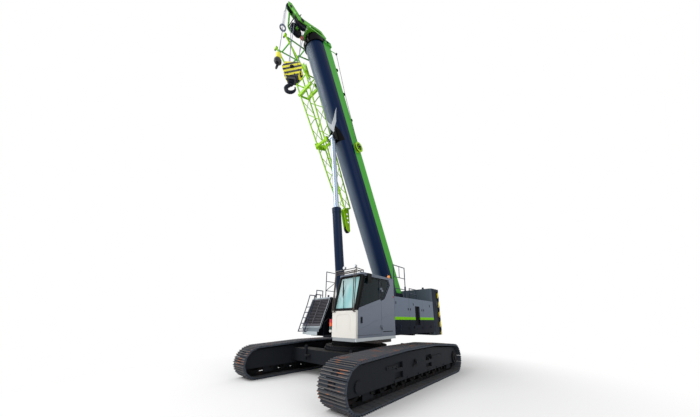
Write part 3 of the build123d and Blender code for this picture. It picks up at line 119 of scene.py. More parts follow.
class Sketch:
    """A material under construction: nodes are laid and linked one after the other."""

    COAT_ROUGHNESS = 0.06

    def __init__(self, name: str) -> None:
        """Start an empty material.

        Args:
            name: the material's name.
        """
        self.material = bpy.data.materials.new(name)
        self.material.use_nodes = True
        self.tree = self.material.node_tree
        self.tree.nodes.clear()
        self.output = self.lay("ShaderNodeOutputMaterial")
        self.shader = self.lay("ShaderNodeBsdfPrincipled")
        self.tree.links.new(self.shader.outputs["BSDF"], self.output.inputs["Surface"])
        self.place = self.lay("ShaderNodeTexCoord").outputs["Object"]

    def lay(self, kind: str, **settings: object) -> bpy.types.Node:
        """Lay one node in the material."""
        return lay(self.tree, kind, **settings)

    def feed(self, socket: Socket, value: object) -> None:
        """Link a socket, or set its value when a plain number or colour is given."""
        if isinstance(value, Socket):
            self.tree.links.new(value, socket)
        elif isinstance(value, tuple) and len(value) == 3 and socket.type == "RGBA":
            socket.default_value = (*value, 1.0)
        else:
            socket.default_value = value

    def sum(self, operation: str, first: object, second: object = 0.0, clamp: bool = False) -> Socket:
        """One step of arithmetic on numbers."""
        node = self.lay("ShaderNodeMath", operation=operation, use_clamp=clamp)
        self.feed(node.inputs[0], first)
        self.feed(node.inputs[1], second)
        return node.outputs[0]

    def times(self, first: object, second: object, clamp: bool = False) -> Socket:
        """The product of two numbers."""
        return self.sum("MULTIPLY", first, second, clamp)

    def plus(self, first: object, second: object) -> Socket:
        """Two numbers added."""
        return self.sum("ADD", first, second)

    def minus(self, first: object, second: object) -> Socket:
        """The second number taken from the first."""
        return self.sum("SUBTRACT", first, second)

    def along(self, axis: Axis, place: Socket | None = None) -> Socket:
        """One coordinate of a place, the surface's own place by default."""
        node = self.lay("ShaderNodeSeparateXYZ")
        self.feed(node.inputs[0], place or self.place)
        return node.outputs[axis.value]

    def turned(self, offset: Point, angles: Point) -> Socket:
        """The surface's place seen from a frame at an offset, turned by angles about X, Y and Z."""
        node = self.lay("ShaderNodeMapping", vector_type="TEXTURE")
        self.feed(node.inputs["Vector"], self.place)
        node.inputs["Location"].default_value = offset
        node.inputs["Rotation"].default_value = angles
        return node.outputs[0]

    def grain(self, scale: float, detail: float = 3.0, stretch: Point = (1.0, 1.0, 1.0),
              place: Socket | None = None) -> Socket:
        """A noise from 0 to 1, stretched along its axes."""
        spread = self.lay("ShaderNodeMapping")
        self.feed(spread.inputs["Vector"], place or self.place)
        spread.inputs["Scale"].default_value = stretch
        node = self.lay("ShaderNodeTexNoise")
        self.feed(node.inputs["Vector"], spread.outputs[0])
        node.inputs["Scale"].default_value = scale
        node.inputs["Detail"].default_value = detail
        return node.outputs["Fac"]

    def wave(self, direction: str, scale: float) -> Socket:
        """Even bands from 0 to 1."""
        node = self.lay("ShaderNodeTexWave", bands_direction=direction)
        self.feed(node.inputs["Vector"], self.place)
        node.inputs["Scale"].default_value = scale
        return node.outputs["Fac"]

    def step(self, value: Socket, edge: float, soft: float = 0.001) -> Socket:
        """0 below an edge and 1 above it, with a soft width."""
        node = self.lay("ShaderNodeMapRange", interpolation_type="SMOOTHSTEP")
        self.feed(node.inputs["Value"], value)
        node.inputs["From Min"].default_value = edge - soft
        node.inputs["From Max"].default_value = edge + soft
        return node.outputs[0]

    def below(self, value: Socket, edge: float, soft: float = 0.001) -> Socket:
        """1 below an edge and 0 above it, with a soft width."""
        return self.minus(1.0, self.step(value, edge, soft))

    def between(self, value: Socket, low: float, high: float, soft: float = 0.001) -> Socket:
        """1 between two edges and 0 outside them."""
        return self.times(self.step(value, low, soft), self.below(value, high, soft))

    def blend(self, factor: object, first: object, second: object) -> Socket:
        """Mix two colours."""
        node = self.lay("ShaderNodeMix", data_type="RGBA")
        self.feed(node.inputs["Factor"], factor)
        self.feed(node.inputs[6], first)
        self.feed(node.inputs[7], second)
        return node.outputs[2]

    def facing(self, axis: Axis) -> Socket:
        """How far the surface faces along an axis, from -1 to 1."""
        return self.along(axis, self.lay("ShaderNodeNewGeometry").outputs["Normal"])

    def bump(self, height: Socket, depth: float) -> None:
        """Give the surface a relief of a depth in metres."""
        node = self.lay("ShaderNodeBump")
        node.inputs["Distance"].default_value = depth
        node.inputs["Strength"].default_value = 1.0
        self.feed(node.inputs["Height"], height)
        self.tree.links.new(node.outputs["Normal"], self.shader.inputs["Normal"])

    def finish(self, colour: object, rough: object, metal: float = 0.0, coat: float = 0.0,
               gloss: float = 0.5) -> Material:
        """Feed the shader and hand the material over.

        Args:
            colour: base colour or a socket with one.
            rough: roughness or a socket with one.
            metal: how metallic the surface is.
            coat: weight of the clear coat.
            gloss: how strongly the surface mirrors, 0.5 for bare paint.

        Returns:
            The finished material.
        """
        self.feed(self.shader.inputs["Base Color"], colour)
        self.feed(self.shader.inputs["Roughness"], rough)
        self.shader.inputs["Metallic"].default_value = metal
        self.shader.inputs["Coat Weight"].default_value = coat
        self.shader.inputs["Coat Roughness"].default_value = self.COAT_ROUGHNESS
        self.shader.inputs["Specular IOR Level"].default_value = gloss
        return self.material


@dataclass(frozen=True)
class Paint:
    """Sprayed machine paint: one colour, faint clouding, orange peel and dust on what faces up."""

    name: str
    colour: Colour
    rough: float = 0.32
    coat: float = 0.25
    cloud: float = 0.10
    dust: float = 0.25
    dust_colour: Colour = shade(140, 132, 120)
    gloss: float = 0.4

    def coloured(self, sketch: Sketch) -> object:
        """The paint's own colour or pattern, before clouding and dust."""
        return self.colour

    def build(self) -> Material:
        """Make the material."""
        sketch = Sketch(self.name)
        clouds = sketch.grain(1.7, 4.0)
        base = self.coloured(sketch)
        dulled = sketch.blend(1.0 - self.cloud, sketch.blend(0.5, shade(60, 60, 60), base), base)
        colour = sketch.blend(clouds, dulled, base)
        lying = sketch.step(sketch.facing(Axis.Z), 0.72, 0.25)
        settled = sketch.times(lying, sketch.times(sketch.grain(9.0, 5.0), self.dust), clamp=True)
        colour = sketch.blend(settled, colour, self.dust_colour)
        rough = sketch.plus(self.rough, sketch.times(sketch.grain(5.0, 5.0), 0.12))
        sketch.bump(sketch.grain(160.0, 1.0), 0.00025)
        return sketch.finish(colour, rough, 0.0, self.coat, self.gloss)


@dataclass(frozen=True)
class CabPaint(Paint):
    """Blue-grey cab with black raked pillars and mirror; its front panel is painted off-white, a painted
    highlight of light falling on the front.
    """

    # painted highlight: off-white standing for the light on the cab's front
    front: Colour = shade(228, 225, 219)
    pillar: Colour = shade(9, 10, 12)
    front_y: float = -1.60
    screen: Span = (2.035, 3.085)
    screen_foot: float = -1.675
    rake: float = 0.2568
    pillar_deep: float = 0.105
    mirror: Span = (1.535, 2.84)

    def coloured(self, sketch: Sketch) -> object:
        """Grey, a painted off-white highlight ahead of the front edge, black raked pillars and mirror."""
        x, y, z = (sketch.along(axis) for axis in Axis)
        # painted highlight: everything ahead of the front edge turns off-white
        ahead = sketch.below(y, self.front_y)
        leaning = sketch.times(sketch.minus(z, self.screen[0]), self.rake)
        behind = sketch.minus(sketch.plus(y, -self.screen_foot), leaning)
        pillars = sketch.times(sketch.below(behind, self.pillar_deep), sketch.between(z, *self.screen))
        glass = sketch.times(sketch.step(x, self.mirror[0]), sketch.step(z, self.mirror[1]))
        colour = sketch.blend(ahead, self.colour, self.front)
        return sketch.blend(sketch.sum("MAXIMUM", pillars, glass), colour, self.pillar)


@dataclass(frozen=True)
class HoodPaint(Paint):
    """Blue-grey upper panels over a lime band over navy."""

    band: Colour = shade(125, 202, 20)
    lower: Colour = shade(9, 17, 33)
    band_low: float = 1.79
    band_high: float = 1.885
    top: float = 2.575
    vent: tuple[Span, Span] = ((1.70, 2.01), (1.605, 2.275))
    vent_x: float = 1.40

    def coloured(self, sketch: Sketch) -> object:
        """Three colours by height, a black vent and dark housings on the top."""
        height = sketch.along(Axis.Z)
        colour = sketch.blend(sketch.step(height, self.band_low), self.lower, self.band)
        colour = sketch.blend(sketch.step(height, self.band_high), colour, self.colour)
        deep, tall = self.vent
        vent = sketch.times(sketch.between(sketch.along(Axis.Y), *deep), sketch.between(height, *tall))
        vent = sketch.times(vent, sketch.step(sketch.along(Axis.X), self.vent_x))
        return sketch.blend(sketch.sum("MAXIMUM", vent, sketch.step(height, self.top)), colour, self.lower)


@dataclass(frozen=True)
class CoolerPaint(Paint):
    """Pale cooler housing with a darker panel under its ledge; its side towards the cab is painted black,
    painted shade between cooler and cab.
    """

    panel: Colour = shade(118, 128, 136)
    # painted shade: black standing for the shade on the side facing the cab
    inner: Colour = shade(9, 11, 17)
    panel_run: Span = (1.408, 1.524)
    inner_x: float = -0.515

    def coloured(self, sketch: Sketch) -> object:
        """Three colours by height and side; the black side is painted shade."""
        panel = sketch.between(sketch.along(Axis.Z), *self.panel_run, 0.004)
        colour = sketch.blend(panel, self.colour, self.panel)
        # painted shade: faces turned towards the cab go black
        across = sketch.facing(Axis.X)
        side = sketch.times(sketch.step(sketch.along(Axis.X), self.inner_x), sketch.step(across, 0.5, 0.1))
        return sketch.blend(side, colour, self.inner)


@dataclass(frozen=True)
class BoomPaint(Paint):
    """Navy boom with a green roof that comes down the top of its sides."""

    roof: Colour = shade(72, 165, 58)
    # painted reflection: pale blue-grey standing for ground light mirrored in the lower belly
    belly: Colour = shade(106, 118, 131)
    # painted reflection: pale grey standing for light mirrored in the doubler plate
    saddle: Colour = shade(176, 182, 188)
    black: Colour = shade(8, 9, 12)
    edge: float = 0.06
    round_at: float = -0.05
    saddle_low: Outline = ((7.73, 1.66), (7.10, 4.47))
    saddle_high: Outline = ((8.06, 1.25), (7.88, 2.2))
    lug_run: Span = (7.15, 9.0)
    plate_radius: float = 0.4035
    lug_radius: float = 0.418
    pale_way: Span = (-0.66, 0.75)
    pale_edge: Span = (0.56, 0.42)
    collar: float = 11.40
    pivot: Point = (0.0, 2.304, 2.478)
    angle: float = 64.34

    def coloured(self, sketch: Sketch) -> object:
        """Green roof, navy sides, a belly lightened by a painted reflection, a pale saddle that is a
        painted reflection on the doubler plate, black lugs and collar, in the lying frame.
        """
        lying = sketch.turned(self.pivot, (-radians(self.angle), 0.0, 0.0))
        across, back, height = (sketch.along(axis, lying) for axis in Axis)
        station = sketch.times(back, -1.0)
        under = sketch.below(height, self.round_at)
        drop = sketch.minus(height, self.round_at)
        radius = sketch.sum("SQRT", sketch.plus(sketch.times(across, across), sketch.times(drop, drop)))
        # painted reflection: the belly's side facing down and out is lightened in streaks
        facing = sketch.minus(sketch.times(across, self.pale_way[0]), sketch.times(drop, self.pale_way[1]))
        pale = sketch.step(sketch.sum("DIVIDE", facing, radius), *self.pale_edge)
        reflection_streaks = sketch.plus(0.62, sketch.times(sketch.grain(3.0, 5.0, (6.0, 0.5, 0.5), lying), 0.5))
        belly_reflection = sketch.times(sketch.times(pale, reflection_streaks, clamp=True), under)
        colour = sketch.blend(belly_reflection, self.colour, self.belly)
        wide = sketch.sum("ABSOLUTE", across)
        low, high = (self.edge_line(sketch, wide, lines) for lines in (self.saddle_low, self.saddle_high))
        above = sketch.step(sketch.minus(station, low), 0.0)
        below = sketch.step(sketch.minus(high, station), 0.0)
        lugs = sketch.times(under, sketch.between(station, *self.lug_run))
        plate = sketch.times(sketch.step(radius, self.plate_radius), sketch.minus(1.0, above))
        colour = sketch.blend(sketch.times(lugs, plate), colour, self.black)
        prongs = sketch.times(sketch.times(above, below), under)
        # painted reflection: the saddle's pale grey
        colour = sketch.blend(prongs, colour, self.saddle)
        colour = sketch.blend(sketch.times(lugs, sketch.step(radius, self.lug_radius)), colour, self.black)
        colour = sketch.blend(sketch.step(station, self.collar), colour, self.black)
        return sketch.blend(sketch.step(height, self.edge), colour, self.roof)

    @staticmethod
    def edge_line(sketch: Sketch, wide: Socket, lines: Outline) -> Socket:
        """The higher of two slanting lines, each a start and a slope across the boom."""
        first, second = (sketch.plus(start, sketch.times(wide, slope)) for start, slope in lines)
        return sketch.sum("MAXIMUM", first, second)


@dataclass(frozen=True)
class BallastPaint(Paint):
    """Dark counterweight with yellow and black chevrons round its rear corners; faces turned forwards are
    painted lighter grey, a painted highlight.
    """

    yellow: Colour = shade(232, 212, 40)
    black: Colour = shade(12, 12, 14)
    # painted highlight: lighter grey standing for light falling on the forward faces
    front: Colour = shade(84, 94, 104)
    rear_y: float = 3.92
    side_x: float = 1.33
    pitch: float = 0.42

    def coloured(self, sketch: Sketch) -> object:
        """Slanting stripes behind the rear edge line and outside the side line, and a painted highlight on
        faces turned forwards.
        """
        across = sketch.sum("ABSOLUTE", sketch.along(Axis.X))
        deep = sketch.along(Axis.Y)
        slant = sketch.plus(sketch.along(Axis.Z), sketch.minus(across, deep))
        wave = sketch.sum("PINGPONG", slant, self.pitch / 2)
        stripes = sketch.blend(sketch.step(wave, self.pitch / 4), self.yellow, self.black)
        corner = sketch.times(sketch.step(deep, self.rear_y), sketch.step(across, self.side_x))
        # painted highlight: faces turned forwards go lighter grey
        ahead = sketch.below(sketch.facing(Axis.Y), -0.45, 0.3)
        return sketch.blend(corner, sketch.blend(ahead, self.colour, self.front), stripes)


@dataclass(frozen=True)
class StripedPaint(Paint):
    """Slanting yellow and black bands above a line, black below it."""

    second: Colour = shade(22, 26, 38)
    pitch: float = 0.21
    slope: float = -0.27
    black_below: float = -10.0

    def coloured(self, sketch: Sketch) -> object:
        """Bands that rise along X and Y."""
        slide = sketch.times(sketch.plus(sketch.along(Axis.X), sketch.along(Axis.Y)), self.slope)
        wave = sketch.sum("PINGPONG", sketch.plus(sketch.along(Axis.Z), slide), self.pitch / 2)
        bands = sketch.blend(sketch.step(wave, self.pitch / 4), self.colour, self.second)
        return sketch.blend(sketch.step(sketch.along(Axis.Z), self.black_below), self.second, bands)


@dataclass(frozen=True)
class BallPaint(Paint):
    """Ball weight: black ball, yellow barrel, green swivel on top."""

    ball: Colour = shade(20, 22, 30)
    swivel: Colour = shade(80, 150, 60)
    ball_top: float = 10.43
    swivel_low: float = 10.67

    def coloured(self, sketch: Sketch) -> object:
        """Three colours by height."""
        height = sketch.along(Axis.Z)
        colour = sketch.blend(sketch.step(height, self.ball_top), self.ball, self.colour)
        return sketch.blend(sketch.step(height, self.swivel_low), colour, self.swivel)


@dataclass(frozen=True)
class FittingsPaint(Paint):
    """The cab's fittings by place: dark tubes, pale lamp cases, amber beacon, pale sill, grey front box."""

    lamp_case: Colour = shade(150, 152, 156)
    beacon: Colour = shade(250, 150, 20)
    sill: Colour = shade(196, 204, 208)
    front_box: Colour = shade(150, 156, 160)
    front_y: float = -1.50
    box_low: float = 1.205
    floor_z: float = 1.298
    sill_x: float = 1.449
    beacon_low: float = 3.149
    lamp_low: float = 3.238

    def coloured(self, sketch: Sketch) -> object:
        """Five colours chosen by height, depth and side."""
        x, y, z = (sketch.along(axis) for axis in Axis)
        low, ahead = sketch.below(z, self.floor_z), sketch.below(y, self.front_y)
        lamps = sketch.times(sketch.step(z, self.lamp_low), ahead)
        dome = sketch.times(sketch.step(z, self.beacon_low), sketch.step(y, 0.0))
        box = sketch.times(low, sketch.times(sketch.step(z, self.box_low), ahead))
        colour = sketch.blend(lamps, self.colour, self.lamp_case)
        colour = sketch.blend(dome, colour, self.beacon)
        colour = sketch.blend(box, colour, self.front_box)
        return sketch.blend(sketch.times(low, sketch.step(x, self.sill_x)), colour, self.sill)


@dataclass(frozen=True)
class Steel:
    """Bare or blackened steel with rust and worn patches."""

    name: str
    colour: Colour
    rust: Colour = shade(120, 70, 40)
    rusting: float = 0.15
    rough: float = 0.55
    metal: float = 0.3
    dust: float = 0.3
    dust_colour: Colour = shade(120, 112, 100)
    gloss: float = 0.3

    def build(self) -> Material:
        """Make the material."""
        sketch = Sketch(self.name)
        patches = sketch.step(sketch.grain(3.5, 8.0), 0.66, 0.12)
        colour = sketch.blend(sketch.times(patches, self.rusting * 3), self.colour, self.rust)
        lying = sketch.step(sketch.facing(Axis.Z), 0.6, 0.35)
        settled = sketch.times(lying, self.dust, clamp=True)
        colour = sketch.blend(sketch.times(settled, sketch.grain(7.0, 5.0)), colour, self.dust_colour)
        rough = sketch.plus(self.rough, sketch.times(sketch.grain(12.0, 4.0), 0.2))
        sketch.bump(sketch.grain(60.0, 3.0), 0.0008)
        return sketch.finish(colour, rough, self.metal, gloss=self.gloss)


@dataclass(frozen=True)
class Glass:
    """Tinted safety glass: dark teal at the sides with lighter streaks that are painted reflections; the
    windscreen's pale blue-green and white glints are a painted reflection.
    """

    name: str
    side: Colour = shade(5, 24, 28)
    # painted reflection: lighter streaks on the side panes
    side_reflection: Colour = shade(18, 50, 56)
    # painted reflection: pale blue-green and white glint standing for bright light mirrored in the
    # windscreen
    screen: Colour = shade(142, 196, 198)
    glint: Colour = shade(250, 255, 255)
    cover: float = 0.93
    screen_x: Span = (0.63, 1.455)
    screen_y: float = -1.30

    def build(self) -> Material:
        """Make the material."""
        sketch = Sketch(self.name)
        ahead = sketch.below(sketch.along(Axis.Y), self.screen_y)
        front = sketch.times(ahead, sketch.between(sketch.along(Axis.X), *self.screen_x))
        # painted reflection: streaks that lay glints on the windscreen and lighter streaks on the side
        # panes
        reflection_streaks = sketch.grain(1.6, 3.0, (1.0, 1.0, 0.4))
        bright = sketch.blend(0.45, self.screen, self.glint)
        pale = sketch.blend(sketch.step(reflection_streaks, 0.5, 0.2), self.screen, bright)
        dark = sketch.blend(sketch.step(reflection_streaks, 0.6, 0.2), self.side, self.side_reflection)
        colour = sketch.blend(front, dark, pale)
        sketch.shader.inputs["Alpha"].default_value = self.cover
        sketch.shader.inputs["IOR"].default_value = 1.5
        return sketch.finish(colour, 0.05, gloss=0.16)


@dataclass(frozen=True)
class Plastic:
    """Moulded plastic or rubber with a fine grain."""

    name: str
    colour: Colour
    rough: float = 0.5
    gloss: float = 0.22

    def build(self) -> Material:
        """Make the material."""
        sketch = Sketch(self.name)
        worn = sketch.blend(0.05, self.colour, shade(150, 150, 150))
        colour = sketch.blend(sketch.grain(6.0, 4.0), self.colour, worn)
        rough = sketch.plus(self.rough, sketch.times(sketch.grain(20.0, 2.0), 0.1))
        sketch.bump(sketch.grain(420.0, 1.0), 0.0003)
        return sketch.finish(colour, rough, gloss=self.gloss)


@dataclass(frozen=True)
class Lens:
    """Coloured lamp lens with upright ribs; tiers give a stacked light its colours by height."""

    name: str
    colour: Colour
    tiers: tuple[tuple[float, Colour], ...] = ()

    def build(self) -> Material:
        """Make the material."""
        sketch = Sketch(self.name)
        height = sketch.along(Axis.Z)
        colour: object = self.colour
        for low, tier in self.tiers:
            colour = sketch.blend(sketch.step(height, low), colour, tier)
        bright = sketch.blend(0.08, colour, shade(255, 255, 255))
        colour = sketch.blend(sketch.grain(14.0, 2.0), colour, bright)
        sketch.bump(sketch.wave("X", 40.0), 0.0006)
        return sketch.finish(colour, 0.2, gloss=0.3)


@dataclass(frozen=True)
class Rope:
    """Stranded wire rope: slanting grooves along its length."""

    name: str
    colour: Colour

    def build(self) -> Material:
        """Make the material."""
        sketch = Sketch(self.name)
        strands = sketch.wave("DIAGONAL", 38.0)
        groove = sketch.blend(0.5, self.colour, shade(20, 20, 24))
        colour = sketch.blend(strands, groove, self.colour)
        sketch.bump(strands, 0.002)
        return sketch.finish(colour, 0.42, 0.7)


@dataclass(frozen=True)
class Cloth:
    """Woven seat cover."""

    name: str
    colour: Colour

    def build(self) -> Material:
        """Make the material."""
        sketch = Sketch(self.name)
        weave = sketch.wave("DIAGONAL", 120.0)
        lighter = sketch.blend(0.25, self.colour, shade(140, 140, 145))
        sketch.bump(weave, 0.0006)
        sketch.shader.inputs["Sheen Weight"].default_value = 0.2
        return sketch.finish(sketch.blend(weave, self.colour, lighter), 0.85)


class Finish(Enum):
    """Every finish of the crane, by what it covers."""

    SHOE = Steel("shoe_steel", shade(58, 64, 74), rusting=0.05, gloss=0.2, dust=0.5,
                 dust_colour=shade(116, 110, 98), metal=0.1)
    SHOE_RUST = Steel("shoe_rust", shade(98, 92, 90), rust=shade(190, 110, 62), rusting=0.75, metal=0.0,
                      dust=0.4, dust_colour=shade(128, 120, 106))
    UNDERCARRIAGE = Paint("undercarriage_paint", shade(30, 33, 38), rough=0.5, coat=0.0, dust=0.25,
                          gloss=0.06)
    WHEEL_STEEL = Steel("wheel_steel", shade(24, 25, 27), rusting=0.05, dust=0.15, metal=0.0, gloss=0.08)
    FRAME = Paint("frame_paint", shade(18, 22, 30), rough=0.4, coat=0.0, gloss=0.06)
    CAB = CabPaint("cab_paint", shade(116, 124, 138), dust=0.04, coat=0.0, gloss=0.12)
    HOOD = HoodPaint("hood_paint", shade(114, 124, 140), dust=0.05, coat=0.0, gloss=0.03)
    COOLER = CoolerPaint("cooler_paint", shade(180, 190, 196), coat=0.0, dust=0.1, gloss=0.2)
    GRILLE = Paint("grille_paint", shade(74, 72, 80), rough=0.5, coat=0.0)
    BALLAST = BallastPaint("ballast_paint", shade(18, 28, 42), dust=0.1, coat=0.0, gloss=0.04)
    NAVY = BoomPaint("boom_paint", shade(6, 30, 64), rough=0.16, coat=0.0, cloud=0.04, dust=0.0, gloss=0.08)
    PLAIN_NAVY = Paint("navy_paint", shade(8, 30, 58), rough=0.2, coat=0.0, cloud=0.04, dust=0.0,
                       gloss=0.12)
    GREEN = Paint("green_paint", shade(86, 170, 44), rough=0.3, coat=0.0, dust=0.1, gloss=0.2)
    LIME = Paint("lime_paint", shade(148, 204, 18), rough=0.3, coat=0.0, dust=0.1, gloss=0.2)
    BALL = BallPaint("ball_paint", shade(228, 222, 38), rough=0.35, dust=0.0)
    BLOCK = StripedPaint("block_paint", shade(228, 222, 38), rough=0.35, dust=0.1, black_below=10.10)
    BLACK_STEEL = Steel("black_steel", shade(16, 21, 34), rusting=0.03, metal=0.0, rough=0.4, dust=0.05,
                        gloss=0.12)
    RAIL = Paint("rail_paint", shade(34, 44, 66), rough=0.35, coat=0.0, dust=0.05, gloss=0.15)
    TRIM = Plastic("black_trim", shade(9, 10, 12), gloss=0.03)
    SEAT = Cloth("seat_cloth", shade(40, 41, 46))
    PANE = Glass("cab_glazing")
    ROPE = Rope("wire_rope", shade(122, 130, 152))
    CHROME = Steel("polished_rod", shade(150, 164, 182), rusting=0.0, rough=0.16, metal=0.75, dust=0.0,
                   gloss=0.5)
    LAMP = Lens("white_lens", shade(232, 236, 240))
    AMBER = Lens("amber_lens", shade(255, 150, 16))
    RED_LENS = Lens("red_lens", shade(160, 12, 16))
    FITTINGS = FittingsPaint("fittings_paint", shade(58, 50, 46), rough=0.4, coat=0.1, dust=0.05)
    LOAD_LIGHT = Lens("load_light_lens", shade(225, 225, 220),
                      ((1.50, shade(20, 60, 54)), (1.60, shade(255, 96, 10)), (1.70, shade(214, 20, 48))))

    def get(self) -> Material:
        """The material, built on first use."""
        if self.name not in MADE:
            MADE[self.name] = self.value.build()
        return MADE[self.name]


# ------------------------------------------------------------------ the crane's own finishes on the solids
@dataclass
class Dressing:
    """Which finish each of the crane's solid nodes wears."""

    nodes: dict[str, Piece]
    finishes: dict[Finish, tuple[str, ...]] = field(default_factory=lambda: {
        Finish.SHOE: ("track_loop_left", "track_loop_right"),
        Finish.UNDERCARRIAGE: ("carbody", "track_frame_left", "track_frame_right"),
        Finish.WHEEL_STEEL: ("track_wheels_left", "track_wheels_right", "slew_ring"),
        Finish.FRAME: ("slewing_frame", "winch"),
        Finish.CAB: ("cab_shell", "cab_door"),
        Finish.HOOD: ("hood_left", "hood_right"),
        Finish.COOLER: ("cooler_box",),
        Finish.GRILLE: ("cooler_grille",),
        Finish.BALLAST: ("counterweight_lower", "counterweight_upper"),
        Finish.NAVY: ("boom_base", "boom_section_2", "boom_section_3", "boom_section_4", "boom_section_5"),
        Finish.PLAIN_NAVY: ("lift_barrel",),
        Finish.GREEN: ("boom_head",),
        Finish.LIME: ("jib", "jib_brackets"),
        Finish.BLACK_STEEL: ("head_sheaves", "jib_sheave", "main_hook", "aux_hook"),
        Finish.RAIL: ("handrail_left", "handrail_right", "ladder"),
        Finish.TRIM: ("cable_reel",),
        Finish.SEAT: ("cab_seat",),
        Finish.PANE: ("cab_glass", "cab_door_glass"),
        Finish.BLOCK: ("hook_block",),
        Finish.BALL: ("aux_ball",),
        Finish.ROPE: ("main_falls", "aux_line"),
        Finish.CHROME: ("lift_rod",),
        Finish.LOAD_LIGHT: ("load_light",),
        Finish.FITTINGS: ("cab_fittings",),
    })

    def dress(self) -> None:
        """Give every node its material."""
        for finish, names in self.finishes.items():
            for name in names:
                node = self.nodes[name]
                node.data.materials.clear()
                node.data.materials.append(finish.get())
        LOG.info("dressed %d nodes", sum(len(names) for names in self.finishes.values()))


